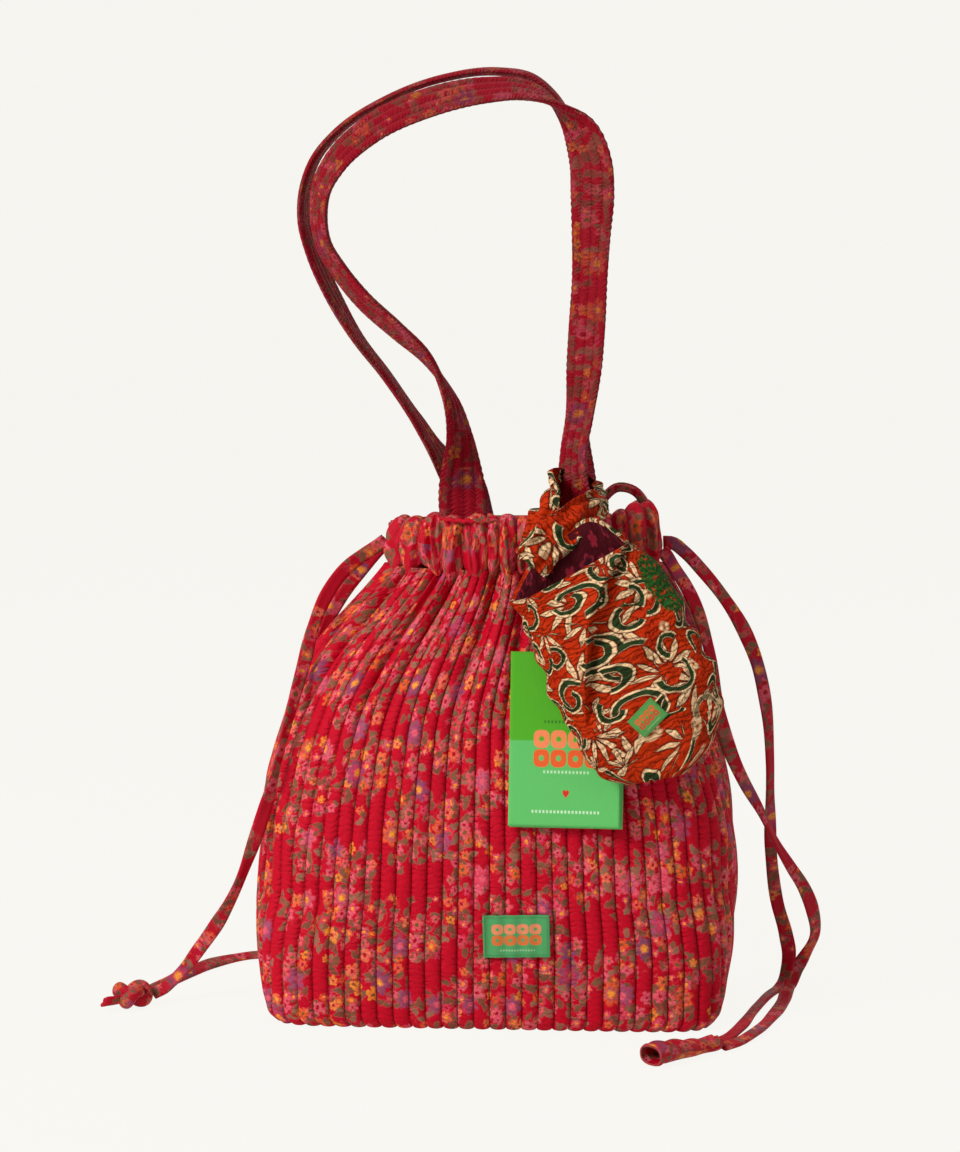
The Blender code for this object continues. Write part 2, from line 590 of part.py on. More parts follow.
def build_tag(finish):
    """Folded card tag: two leaves joined by a fold along the left edge, with a punched hole."""
    depth, slope = resting_plane(TAG_CENTRE_X, TAG_CENTRE_Z, TAG_WIDTH, TAG_HEIGHT)
    half_w = TAG_WIDTH / 2
    card = TAG_CARD
    bend = TAG_FOLD_BEND
    outline = [(half_w, 0.0), (-half_w + bend, 0.0), (-half_w, -card - TAG_FOLD_GAP / 2),
               (-half_w + bend, -2 * card - TAG_FOLD_GAP), (half_w, -2 * card - TAG_FOLD_GAP),
               (half_w, -card - TAG_FOLD_GAP), (-half_w + bend, -card - TAG_FOLD_GAP),
               (-half_w + bend - card, -card - TAG_FOLD_GAP / 2), (-half_w + bend, -card), (half_w, -card)]
    rings = []
    for z in (-TAG_HEIGHT / 2, TAG_HEIGHT / 2):
        start = depth + slope * z - SEAM_GAP
        rings.append([(TAG_CENTRE_X + x, start + y, TAG_CENTRE_Z + z) for x, y in outline])
    tag = add_object("hang_tag", ring_mesh("hang_tag", rings), finish)
    punch = bmesh.new()
    hole_z = TAG_HEIGHT / 2 - 2 * TAG_HOLE
    bmesh.ops.create_cone(punch, cap_ends=True, segments=12, radius1=TAG_HOLE / 2, radius2=TAG_HOLE / 2,
                          depth=20 * (2 * card + TAG_FOLD_GAP))
    data = bpy.data.meshes.new("tag_punch")
    punch.to_mesh(data)
    punch.free()
    cutter = add_object("tag_punch", data, finish)
    cutter.rotation_euler = (math.pi / 2, 0.0, 0.0)
    cutter.location = (TAG_CENTRE_X, depth + slope * hole_z - card, TAG_CENTRE_Z + hole_z)
    cutter.hide_render = True
    cutter.display_type = "WIRE"
    cut = tag.modifiers.new("hole", "BOOLEAN")
    cut.object = cutter
    cut.operation = "DIFFERENCE"
    return tag


def tag_front(height):
    """Depth of the tag's front face at a height."""
    depth, slope = resting_plane(TAG_CENTRE_X, TAG_CENTRE_Z, TAG_WIDTH, TAG_HEIGHT)
    return depth + slope * (height - TAG_CENTRE_Z) - SEAM_GAP - 2 * TAG_CARD - TAG_FOLD_GAP


def charm_axes():
    """Directions of the small pouch: across its mouth, down its length, and out of its front."""
    down = Vector((math.sin(CHARM_LEAN), 0.0, -math.cos(CHARM_LEAN)))
    down = (down + Vector((0.0, -math.sin(CHARM_SLOPE), 0.0))).normalized()
    across = Vector((math.cos(CHARM_LEAN), 0.0, math.sin(CHARM_LEAN))).normalized()
    across = (across - down * across.dot(down)).normalized()
    out = down.cross(across).normalized()
    if out.y > 0:
        out = -out
    return np.array(across), np.array(down), np.array(out)


def charm_mouth():
    """Middle of the small pouch's mouth: below the handle's right foot, where its back just clears the tag."""
    foot_x, _, _ = strap_foot(True, True)
    _, down, _ = charm_axes()
    height = BODY_HEIGHT + CASING_HEIGHT + 2 * SEAM_GAP - CHARM_MOUTH_DROP
    middle = down * CHARM_LENGTH / 2
    depth = tag_front(height + middle[2]) - CHARM_TAG_GAP - CHARM_THICKNESS / 2 - middle[1]
    return np.array([foot_x + CHARM_MOUTH_SIDE, depth, height])


def charm_halves(along):
    """Half width and half thickness of the small pouch at a share of its length."""
    half_w = through_points(along, [0.0, 0.15, 0.60, 0.85, 0.96, 1.0],
                            [CHARM_MOUTH_WIDTH / 2, 0.47 * CHARM_WIDTH, 0.5 * CHARM_WIDTH,
                             0.45 * CHARM_WIDTH, 0.35 * CHARM_WIDTH, 0.25 * CHARM_WIDTH])
    half_t = through_points(along, [0.0, 0.2, 0.6, 0.9, 1.0],
                            [CHARM_MOUTH_THICKNESS / 2, 0.44 * CHARM_THICKNESS, 0.5 * CHARM_THICKNESS,
                             0.36 * CHARM_THICKNESS, 0.17 * CHARM_THICKNESS])
    return float(half_w), float(half_t)


def charm_ring(along, inset, angles):
    """One ring of the small pouch, at a share of its length: an oval, wide at the belly, round below."""
    across, down, out = charm_axes()
    half_w, half_t = charm_halves(along)
    cosine = np.cos(angles)
    sine = np.sin(angles)
    points = charm_mouth() + down * along * CHARM_LENGTH
    width = (half_w - inset) * np.sign(cosine) * np.abs(cosine) ** 0.8
    thick = (half_t - inset) * np.sign(sine) * np.abs(sine) ** 0.9
    ring = points + across * width[:, None] + out * thick[:, None]
    near_mouth = (1.0 - along) ** 6
    slant = np.where(sine > 0, CHARM_FRONT_DROP * sine, CHARM_BACK_RISE * sine) * near_mouth
    return ring + down * slant[:, None]


def build_charm(cloth, lining, label):
    """The small pouch: its quilted shell, its lining and its own label."""
    levels = [1.0, 0.96, 0.88, 0.72, 0.5, 0.28, 0.12, 0.0]
    angles = np.linspace(0.0, 2 * math.pi, 20, endpoint=False)
    rings = [charm_ring(level, 0.0, angles) for level in levels]
    rings += [charm_ring(level, CHARM_WALL, angles) for level in reversed(levels[2:])]
    add_object("charm_body", ring_mesh("charm_body", rings), cloth)

    shift = CHARM_WALL + 2 * SEAM_GAP
    levels = [0.72, 0.5, 0.28, 0.12, 0.01]
    rings = [charm_ring(CHARM_LINING_SHARE, shift + 2 * CHARM_LINING, angles)]
    rings += [charm_ring(level, shift, angles) for level in levels]
    rings += [charm_ring(level, shift + CHARM_LINING, angles) for level in reversed(levels)]
    rings += [charm_ring(CHARM_LINING_SHARE - 0.01, shift + 3 * CHARM_LINING, angles)]
    add_object("charm_lining", ring_mesh("charm_lining", rings), lining)

    edges = CHARM_LABEL_ALONG + np.array([0.5, 0.0, -0.5]) * CHARM_LABEL_HEIGHT
    offsets = CHARM_LABEL_ACROSS + np.linspace(-0.5, 0.5, 5) * CHARM_LABEL_WIDTH
    layers = []
    for proud in (2 * SEAM_GAP, 2 * SEAM_GAP + LABEL_THICKNESS):
        rows = []
        for edge in edges:
            share = edge / CHARM_LENGTH
            half_w, _ = charm_halves(share)
            side = np.abs(offsets / half_w) ** 1.25 * np.sign(offsets)
            rows.append(charm_ring(share, -proud, np.arccos(side)))
        layers.append(rows)
    under, over = layers
    rings = [[row[column] for row in under] + [row[column] for row in reversed(over)] for column in range(5)]
    add_object("charm_label", ring_mesh("charm_label", rings), label)


def build_charm_loop(cloth):
    """Loop of the small pouch: a band round the strap's foot that widens down to the pouch's back rim."""
    foot_x, foot_y, _ = strap_foot(True, True)
    low = BODY_HEIGHT + CASING_HEIGHT + 6 * SEAM_GAP
    high = low + CHARM_LOOP_HEIGHT
    half_x = STRAP_WIDTH / 2 + CHARM_LOOP_CLEARANCE
    half_y = CHARM_LOOP_ROOM / 2
    cloth_t = CHARM_LOOP_CLOTH
    angles = np.linspace(0.0, 2 * math.pi, 20, endpoint=False)

    def loop(extra, z):
        x = foot_x + (half_x + extra) * np.sign(np.cos(angles)) * np.abs(np.cos(angles)) ** 0.45
        y = foot_y + (half_y + extra) * np.sign(np.sin(angles)) * np.abs(np.sin(angles)) ** 0.45
        return np.column_stack([x, y, np.full(len(angles), z)])

    rings = [loop(0.0, low), loop(cloth_t, low), loop(cloth_t, high), loop(0.0, high)]
    band = add_object("charm_loop", ring_mesh("charm_loop", rings, close_loop=True), cloth)

    across, down, out = charm_axes()
    front_y = foot_y - half_y - 0.5 * cloth_t
    stations = np.linspace(0.56, 0.86, 7)
    rim = charm_ring(0.0, 0.5 * CHARM_WALL, 2 * math.pi * stations)
    rim = rim - down * (SEAM_GAP * 4)
    top = np.column_stack([np.linspace(foot_x - 0.9 * half_x, foot_x + 0.75 * half_x, 7),
                           np.full(7, front_y), np.full(7, low + 0.45 * CHARM_LOOP_HEIGHT)])
    foot = top.copy()
    foot[:, 2] = low + 0.0015
    clear = top.copy()
    clear[:, 1] = foot_y - CASING_THICKNESS / 2 * 1.1 - PLEAT_DEPTH - cloth_t
    clear[:, 2] = low - 0.005
    middle = 0.45 * clear + 0.55 * rim
    middle[:, 1] -= 0.0015
    rows = [rim, middle, clear, foot, top]
    half = np.array([0.0, 0.5 * cloth_t, 0.0])
    lean = out * 0.5 * cloth_t
    offsets = [lean, lean, 0.7 * lean - 0.3 * half, -half, -half]
    rings = []
    for column in range(7):
        front = [row[column] + offset for row, offset in zip(rows, offsets)]
        back = [row[column] - offset for row, offset in zip(rows, offsets)]
        rings.append(front + list(reversed(back)))
    flap = add_object("charm_flap", ring_mesh("charm_flap", rings), cloth)
    flap.hide_render = True
    flap.display_type = "WIRE"
    join = band.modifiers.new("join", "BOOLEAN")
    join.object = flap
    join.operation = "UNION"
    return band


# Arches of the two handles: x and height as shares of the rise, how far inward as a share of the mouth's
# depth, and the turn of the width in degrees
FRONT_ARCH = [(-0.0678, 0.000, 0.078, 22), (-0.0753, 0.025, 0.172, 57), (-0.0969, 0.075, 0.250, 80),
              (-0.1161, 0.100, 0.290, 90), (-0.1584, 0.125, 0.354, 104), (-0.2282, 0.150, 0.418, 112),
              (-0.3031, 0.175, 0.485, 113), (-0.3620, 0.200, 0.556, 111), (-0.3969, 0.213, 0.613, 109),
              (-0.4086, 0.225, 0.682, 108), (-0.4035, 0.225, 0.739, 108), (-0.3729, 0.225, 0.796, 111),
              (-0.2894, 0.225, 0.872, 116), (-0.1529, 0.225, 0.935, 119), (-0.0220, 0.225, 0.965, 119),
              (0.0537, 0.225, 0.967, 113), (0.1114, 0.225, 0.949, 98), (0.1502, 0.225, 0.917, 78),
              (0.1863, 0.225, 0.878, 52), (0.2149, 0.213, 0.796, 30), (0.2224, 0.200, 0.739, 27),
              (0.2204, 0.200, 0.639, 38), (0.2188, 0.188, 0.534, 48), (0.2114, 0.175, 0.403, 48),
              (0.2071, 0.162, 0.330, 47), (0.1976, 0.125, 0.213, 45), (0.1890, 0.050, 0.145, 34),
              (0.1890, 0.000, 0.085, 8)]
BACK_ARCH = [(-0.0902, 0.000, 0.045, 25), (-0.1263, 0.037, 0.095, 55), (-0.1918, 0.100, 0.194, 80),
             (-0.2733, 0.162, 0.305, 88), (-0.3380, 0.213, 0.388, 78), (-0.3929, 0.250, 0.487, 64),
             (-0.4384, 0.275, 0.593, 72), (-0.4584, 0.287, 0.664, 84), (-0.4549, 0.312, 0.735, 89),
             (-0.4294, 0.325, 0.805, 91), (-0.3710, 0.325, 0.867, 92), (-0.2651, 0.325, 0.935, 93),
             (-0.1341, 0.325, 0.986, 93), (-0.0039, 0.312, 1.004, 93), (0.0702, 0.300, 0.992, 93),
             (0.1235, 0.287, 0.950, 92), (0.1655, 0.275, 0.885, 90), (0.1961, 0.263, 0.796, 88),
             (0.2149, 0.250, 0.715, 87), (0.2224, 0.237, 0.599, 86), (0.2157, 0.225, 0.482, 84),
             (0.2020, 0.200, 0.341, 82), (0.1922, 0.137, 0.198, 74), (0.1882, 0.050, 0.085, 40)]


def main():
    clear_scene()
    quilt = material("quilted print", (0.56, 0.02, 0.04), 0.85)
    plain = material("casing print", (0.60, 0.02, 0.05), 0.82)
    strap = material("strap print", (0.58, 0.03, 0.05), 0.84)
    cord = material("cord print", (0.55, 0.05, 0.06), 0.80)
    label = material("woven label", (0.10, 0.42, 0.10), 0.70)
    card = material("tag card", (0.12, 0.45, 0.10), 0.60)
    block = material("charm print", (0.66, 0.08, 0.02), 0.85)
    lining = material("charm lining", (0.12, 0.01, 0.02), 0.90)
    build_body(quilt)
    build_casing("casing_front", True, plain)
    build_casing("casing_back", False, plain)
    build_strap("strap_front", True, FRONT_ARCH, strap)
    build_strap("strap_back", False, BACK_ARCH, strap)
    build_rings(cord)
    build_tail("drawstring_left_tail_front", LEFT_TAIL_FRONT, cord)
    build_tail("drawstring_left_tail_back", LEFT_TAIL_BACK, cord)
    build_tail("drawstring_right_tail_front", RIGHT_TAIL_FRONT, cord)
    build_tail("drawstring_right_tail_back", RIGHT_TAIL_BACK, cord)
    build_knot(cord)
    build_end_tube(cord)
    build_label(label)
    build_tag(card)
    build_charm(block, lining, label)
    build_charm_loop(block)


main()
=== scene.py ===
"""Looks of a quilted cotton kinchaku with two handles, two drawstrings and a small pouch hung on it.

Metres, +Z up, front towards -Y. Every piece is a surface worked out as whole arrays of points.
"""

import math

import bmesh
import bpy
import numpy as np
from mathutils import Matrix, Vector


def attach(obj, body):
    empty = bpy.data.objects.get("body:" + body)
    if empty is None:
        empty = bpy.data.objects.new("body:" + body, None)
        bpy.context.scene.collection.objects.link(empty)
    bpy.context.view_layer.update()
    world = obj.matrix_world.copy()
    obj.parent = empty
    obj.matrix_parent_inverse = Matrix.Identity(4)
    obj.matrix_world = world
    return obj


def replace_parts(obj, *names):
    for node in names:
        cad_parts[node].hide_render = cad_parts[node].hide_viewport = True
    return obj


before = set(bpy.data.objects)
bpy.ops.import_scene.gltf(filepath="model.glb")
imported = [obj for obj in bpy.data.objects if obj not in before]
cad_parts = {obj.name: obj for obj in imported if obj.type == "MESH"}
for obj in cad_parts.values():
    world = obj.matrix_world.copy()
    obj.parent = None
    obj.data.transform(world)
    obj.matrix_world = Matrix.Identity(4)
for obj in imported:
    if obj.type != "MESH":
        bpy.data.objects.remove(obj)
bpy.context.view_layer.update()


# Camera, lamps and background

CAMERA_AT = (0.12763, -1.98150, 0.50368)
CAMERA_TO = (-0.01085, -0.00124, 0.25994)
CAMERA_LENS = 125.0
SENSOR_WIDTH = 36.0
VIEW_REACH = 20.0
PAPER = (0.940, 0.931, 0.893)
PAPER_GLOW = 1.004
PAPER_OWN_SHARE = 0.965
ROOM_LIGHT = (1.0, 0.99, 0.97)
ROOM_STRENGTH = 0.27
BACKDROP_STRENGTH = 0.985
LAMPS = (
    ("soft_key", (-1.35, -1.35, 1.35), (0.0, 0.0, 0.22), 0.8, 0.7, 43.0),
    ("soft_fill", (1.7, -1.3, 0.7), (0.0, 0.0, 0.25), 1.2, 1.2, 2.4),
    ("soft_top", (0.1, 0.3, 1.9), (0.0, 0.0, 0.2), 1.4, 1.2, 8.0),
)


def turned_to(place, aim):
    """The turn of a camera or lamp that stands at a place and looks at an aim."""
    return (Vector(aim) - Vector(place)).to_track_quat("-Z", "Y").to_euler()


def stand(name, data, place, aim):
    thing = bpy.data.objects.new(name, data)
    thing.location = place
    thing.rotation_euler = turned_to(place, aim)
    bpy.context.collection.objects.link(thing)
    return thing


def add_camera():
    lens = bpy.data.cameras.new("photo_camera")
    lens.lens = CAMERA_LENS
    lens.sensor_width = SENSOR_WIDTH
    lens.sensor_fit = "HORIZONTAL"
    lens.clip_end = VIEW_REACH
    bpy.context.scene.camera = stand("photo_camera", lens, CAMERA_AT, CAMERA_TO)


def add_lamp(name, place, aim, width, height, power):
    lamp = bpy.data.lights.new(name, "AREA")
    lamp.shape = "RECTANGLE"
    lamp.size = width
    lamp.size_y = height
    lamp.energy = power
    stand(name, lamp, place, aim)


def add_light():
    """Three soft lamps, and a room that lights the pieces weakly but shows pale to the camera."""
    for lamp in LAMPS:
        add_lamp(*lamp)
    world = bpy.data.worlds.new("pale_room")
    bpy.context.scene.world = world
    world.use_nodes = True
    shade = Shade(world.node_tree)
    room = world.node_tree.nodes["Background"]
    shade.feed(room.inputs["Color"], ROOM_LIGHT)
    shade.feed(room.inputs["Strength"], ROOM_STRENGTH)
    pale = shade.node("ShaderNodeBackground")
    shade.feed(pale.inputs["Color"], PAPER)
    shade.feed(pale.inputs["Strength"], BACKDROP_STRENGTH)
    shown = shade.mixed_shaders(seen_rays(shade), room, pale)
    shade.feed(world.node_tree.nodes["World Output"].inputs["Surface"], shown)


# Shader nodes

class Amount:
    """What one output of a node gives. Arithmetic with it adds the nodes that work it out."""

    def __init__(self, shade, socket):
        self.shade = shade
        self.socket = socket

    def __add__(self, other):
        return self.shade.sum("ADD", self, other)

    def __sub__(self, other):
        return self.shade.sum("SUBTRACT", self, other)

    def __rsub__(self, other):
        return self.shade.sum("SUBTRACT", other, self)

    def __mul__(self, other):
        return self.shade.sum("MULTIPLY", self, other)

    def __pow__(self, other):
        return self.shade.sum("POWER", self, other)

    def __lt__(self, other):
        return self.shade.sum("LESS_THAN", self, other)

    def __gt__(self, other):
        return self.shade.sum("GREATER_THAN", self, other)

    def __abs__(self):
        return self.shade.sum("ABSOLUTE", self)

    __radd__ = __add__
    __rmul__ = __mul__


class Shade:
    """The nodes of one material, group or world, with short calls for the arithmetic of a pattern."""

    def __init__(self, tree):
        self.tree = tree

    def node(self, kind, **settings):
        made = self.tree.nodes.new(kind)
        for name, value in settings.items():
            setattr(made, name, value)
        return made

    def feed(self, socket, value):
        """Links an amount or a socket to a socket, or sets a number, a vector or a colour on it."""
        if isinstance(value, Amount):
            value = value.socket
        if isinstance(value, bpy.types.NodeSocket):
            self.tree.links.new(value, socket)
        elif socket.type == "RGBA":
            socket.default_value = (*value, 1.0)
        else:
            socket.default_value = value

    def made_of(self, made, values, output=0):
        for socket, value in zip(made.inputs, values):
            self.feed(socket, value)
        return Amount(self, made.outputs[output])

    def sum(self, operation, *values):
        return self.made_of(self.node("ShaderNodeMath", operation=operation), values)

    def sine(self, angle):
        return self.sum("SINE", angle)

    def cosine(self, angle):
        return self.sum("COSINE", angle)

    def least(self, first, *others):
        for other in others:
            first = self.sum("MINIMUM", first, other)
        return first

    def vector(self, operation, *values):
        return self.made_of(self.node("ShaderNodeVectorMath", operation=operation), values)

    def length(self, x, y):
        made = self.node("ShaderNodeVectorMath", operation="LENGTH")
        return self.made_of(made, [self.join(x, y)], "Value")

    def angle(self, x, y, turn):
        """Angle of a point round its cell's middle, after a share of a full turn."""
        return turn * math.tau + self.sum("ARCTAN2", y, x)

    def parts(self, vector):
        made = self.node("ShaderNodeSeparateXYZ")
        self.feed(made.inputs[0], vector)
        return [Amount(self, output) for output in made.outputs]

    def join(self, x, y, z=0.0):
        return self.made_of(self.node("ShaderNodeCombineXYZ"), (x, y, z))

    def own_map(self, name):
        return Amount(self, self.node("ShaderNodeUVMap", uv_map=name).outputs[0])

    def blend(self, share, first, second):
        """The first colour where the share is 0, the second where it is 1."""
        made = self.node("ShaderNodeMix", data_type="RGBA", clamp_factor=True)
        self.feed(made.inputs[0], share)
        self.feed(made.inputs[6], first)
        self.feed(made.inputs[7], second)
        return Amount(self, made.outputs[2])

    def mixed_shaders(self, share, first, second):
        made = self.node("ShaderNodeMixShader")
        return self.made_of(made, (share, first.outputs[0], second.outputs[0]))

    def edge(self, amount, soft=0.05):
        """0 below zero and 1 above it, with a soft border."""
        made = self.node("ShaderNodeMapRange", clamp=True)
        return self.made_of(made, (amount, -soft, soft))

    def noise_node(self, vector, scale, detail, rough):
        made = self.node("ShaderNodeTexNoise", noise_dimensions="3D")
        self.feed(made.inputs["Vector"], vector)
        self.feed(made.inputs["Scale"], scale)
        self.feed(made.inputs["Detail"], detail)
        self.feed(made.inputs["Roughness"], rough)
        return made

    def noise(self, vector, scale, detail=2.0, rough=0.5):
        return Amount(self, self.noise_node(vector, scale, detail, rough).outputs["Fac"])

    def drift(self, onto, source, scale, detail, reach):
        """A place shifted by noise: noise from -0.5 to 0.5 in each direction, times the reach there."""
        stir = self.noise_node(source, scale, detail, 0.5).outputs["Color"]
        return self.vector("MULTIPLY_ADD", self.vector("SUBTRACT", stir, (0.5, 0.5, 0.5)), reach, onto)

    def cells(self, vector):
        made = self.node("ShaderNodeTexVoronoi", voronoi_dimensions="2D", feature="F1")
        self.feed(made.inputs["Vector"], vector)
        self.feed(made.inputs["Scale"], 1.0)
        self.feed(made.inputs["Randomness"], 0.8)
        return made.outputs["Position"], made.outputs["Color"]

    def choice(self, share, *stops):
        """One of several colours: each holds from its own share up to the next one's."""
        made = self.node("ShaderNodeValToRGB")
        made.color_ramp.interpolation = "CONSTANT"
        while len(made.color_ramp.elements) < len(stops):
            made.color_ramp.elements.new(1.0)
        for element, (at, colour) in zip(made.color_ramp.elements, stops):
            element.position = at
            element.color = (*colour, 1.0)
        return self.made_of(made, [share])


def tone(red, green, blue):
    """Linear colour of a screen colour given from 0 to 255."""
    parts = np.array([red, green, blue]) / 255.0
    linear = np.where(parts <= 0.04045, parts / 12.92, ((parts + 0.055) / 1.055) ** 2.4)
    return tuple(float(part) for part in linear)


# Flower print

CRIMSON = tone(194, 2, 34)
DEEP_CRIMSON = tone(156, 0, 24)
OLIVE = tone(94, 90, 58)
DARK_OLIVE = tone(82, 78, 50)
KHAKI = tone(124, 108, 80)
PINK = tone(232, 96, 116)
ROSE = tone(214, 50, 84)
DUSKY_PINK = tone(216, 100, 112)
APRICOT = tone(242, 122, 72)
ORANGE = tone(236, 100, 36)
AMBER = tone(250, 158, 50)
MAUVE = tone(150, 78, 110)
VIOLET = tone(112, 66, 100)
STEM_RED = tone(196, 74, 66)
LEAF_EDGE = tone(212, 84, 90)

SPRAY_SCALE = 34.0
PRINT_LEAVES = ((0.0062, 0.0034, 0.0016, 0.74, 3.1), (0.0086, 0.0044, 0.0020, 0.60, 8.3))
PRINT_FLOWERS = ((0.0078, 0.0030, 0.60, 5.0, 5.7), (0.0108, 0.0043, 0.56, 5.0, 12.9))
LARGE_FLOWER = (0.030, 0.0080, 0.60, 7.0, 21.3)


def cell_motif(shade, cloth, cell, seed):
    """Place of a point from its own cell's middle, the cell's random numbers, and how crowded it is there.

    The crowd is a slow noise read at the cell's middle, so that a motif is either whole or absent.
    """
    start = (seed, seed * 1.7, 0.0)
    at = shade.vector("MULTIPLY_ADD", cloth, (1.0 / cell, 1.0 / cell, 0.0), start)
    middle, colour = shade.cells(at)
    x, y, _ = shade.parts(shade.vector("SUBTRACT", at, middle))
    crowd = shade.noise(shade.vector("SUBTRACT", middle, start), SPRAY_SCALE * cell, 1.0)
    return x, y, shade.parts(colour), crowd


def petals_of(shade, x, y, turn, petals, reach):
    """Edge of a flower at a point's angle: it swings between 0.5 and 1 of the reach once for every petal."""
    lobes = abs(shade.cosine(shade.angle(x, y, turn) * (petals / 2.0)))
    return (lobes ** 0.7 * 0.5 + 0.5) * reach


def blossoms(shade, cloth, cell, radius, share, petals, seed, bare=0.44):
    """Flowers of one size, one to a cell; gives petals, inner ring, heart and the cell's luck."""
    x, y, luck, crowd = cell_motif(shade, cloth, cell, seed)
    far = shade.length(x, y)
    size = luck[1] * (0.40 * radius / cell) + 0.72 * radius / cell
    reach = petals_of(shade, x, y, luck[0], petals, size)
    chosen = (luck[2] < share) * (crowd > bare)
    petal = shade.edge(reach - far, 0.035) * chosen
    ring = shade.edge(reach * 0.66 - far, 0.05) * chosen
    heart = shade.edge(0.27 * radius / cell - far, 0.03) * chosen
    return petal, ring, heart, luck


def leaves(shade, cloth, cell, length, width, share, seed):
    """Pointed leaves: inside where a parabola over the leaf's length passes the distance from its midrib."""
    x, y, luck, crowd = cell_motif(shade, cloth, cell, seed)
    turn = luck[0] * math.tau
    cosine = shade.cosine(turn)
    sine = shade.sine(turn)
    along = x * cosine + y * sine
    aside = y * cosine - x * sine
    square = along * along
    bow = 1.0 - square * (cell / length) ** 2
    depth = bow * (width / cell) - abs(square * 0.7 + aside)
    chosen = (luck[2] < share) * (crowd > 0.43)
    inside = shade.edge(depth, 0.03) * chosen
    outline = shade.edge(depth + 0.05, 0.03) * chosen
    return inside, outline, luck


def print_stems(shade, source, cloth):
    """Thin stems along the middle level of a noise, only where the sprays are."""
    off = abs(shade.noise(cloth, 80.0, 1.0) - 0.5)
    crowd = shade.noise(source, SPRAY_SCALE, 1.0)
    return shade.edge(0.009 - off, 0.006) * shade.edge(crowd - 0.46, 0.03)


def floral_group():
    """Small-flowered print on crimson: sprays of leaves with pink edges, small and large flowers."""
    tree = bpy.data.node_groups.new("floral_print", "ShaderNodeTree")
    tree.interface.new_socket("Cloth", in_out="INPUT", socket_type="NodeSocketVector")
    tree.interface.new_socket("Color", in_out="OUTPUT", socket_type="NodeSocketColor")
    shade = Shade(tree)
    source = shade.node("NodeGroupInput").outputs[0]
    cloth = shade.drift(source, source, 240.0, 2.0, (0.0030, 0.0030, 0.0))
    cloth = shade.drift(cloth, source, 1300.0, 1.0, (0.0017, 0.0024, 0.0))

    ground = shade.blend(shade.noise(source, 45.0), DEEP_CRIMSON, CRIMSON)
    ground = shade.blend(0.55, ground, CRIMSON)
    colour = shade.blend(print_stems(shade, source, cloth) * 0.6, ground, STEM_RED)
    for leaf in PRINT_LEAVES:
        inside, outline, luck = leaves(shade, cloth, *leaf)
        colour = shade.blend(outline * 0.75, colour, LEAF_EDGE)
        green = shade.choice(luck[1], (0.0, OLIVE), (0.4, DARK_OLIVE), (0.75, KHAKI))
        colour = shade.blend(inside * 0.92, colour, green)
    for flower in PRINT_FLOWERS:
        petal, ring, heart, luck = blossoms(shade, cloth, *flower)
        paint = shade.choice(luck[0], (0.0, PINK), (0.34, APRICOT), (0.48, ROSE), (0.64, ORANGE),
                             (0.74, DUSKY_PINK), (0.92, AMBER))
        colour = shade.blend(petal * 0.80, colour, paint)
        paint = shade.choice(luck[1], (0.0, ROSE), (0.35, ORANGE), (0.7, PINK))
        colour = shade.blend(ring * 0.4, colour, paint)
        paint = shade.choice(luck[1], (0.0, AMBER), (0.4, OLIVE), (0.7, DEEP_CRIMSON))
        colour = shade.blend(heart, colour, paint)
    petal, ring, heart, luck = blossoms(shade, cloth, *LARGE_FLOWER, bare=0.40)
    paint = shade.choice(luck[0], (0.0, MAUVE), (0.4, PINK), (0.6, VIOLET), (0.88, ORANGE))
    colour = shade.blend(petal * 0.9, colour, paint)
    paint = shade.choice(luck[1], (0.0, VIOLET), (0.4, MAUVE), (0.75, ROSE))
    colour = shade.blend(ring * 0.7, colour, paint)
    colour = shade.blend(heart, colour, shade.choice(luck[0], (0.0, PINK), (0.5, AMBER)))
    worn = shade.edge(shade.noise(source, 700.0, 3.0, 0.6) - 0.53, 0.10) * 0.50
    colour = shade.blend(worn, colour, ground)
    shade.feed(shade.node("NodeGroupOutput").inputs[0], colour)
    return tree


# Printed and quilted cloth

STITCH_SHADOW = tone(84, 0, 12)
PUCKER_SHADOW = tone(96, 4, 20)
# Dark reds laid over the print as painted shade: on the straps, and on the casing and cords
HANDLE_PAINTED_SHADE = tone(94, 0, 14)
CLOTH_PAINTED_SHADE = tone(70, 0, 14)


def new_finish(name, roughness, specular):
    """A material with its shader ready; what stays the same all over is set on the shader itself."""
    made = bpy.data.materials.new(name)
    made.use_nodes = True
    shader = made.node_tree.nodes["Principled BSDF"]
    shader.inputs["Roughness"].default_value = roughness
    shader.inputs["Specular IOR Level"].default_value = specular
    return made, Shade(made.node_tree), shader


def dress(shade, shader, colour, height, strength=0.8):
    """Colour on the shader, and a height in metres as its bump."""
    shade.feed(shader.inputs["Base Color"], colour)
    bump = shade.node("ShaderNodeBump")
    shade.feed(bump.inputs["Strength"], strength)
    shade.feed(bump.inputs["Distance"], 1.0)
    shade.feed(bump.inputs["Height"], height)
    shade.feed(shader.inputs["Normal"], bump.outputs["Normal"])


def weave_height(shade, cloth, pitch=0.0006, depth=0.00003):
    """Plain weave: two crossed sine waves at the thread pitch."""
    x, y, _ = shade.parts(cloth)
    return shade.sine(x * (math.tau / pitch)) * shade.sine(y * (math.tau / pitch)) * depth


def print_colour(shade, group, cloth):
    made = shade.node("ShaderNodeGroup")
    made.node_tree = group
    return shade.made_of(made, [cloth])


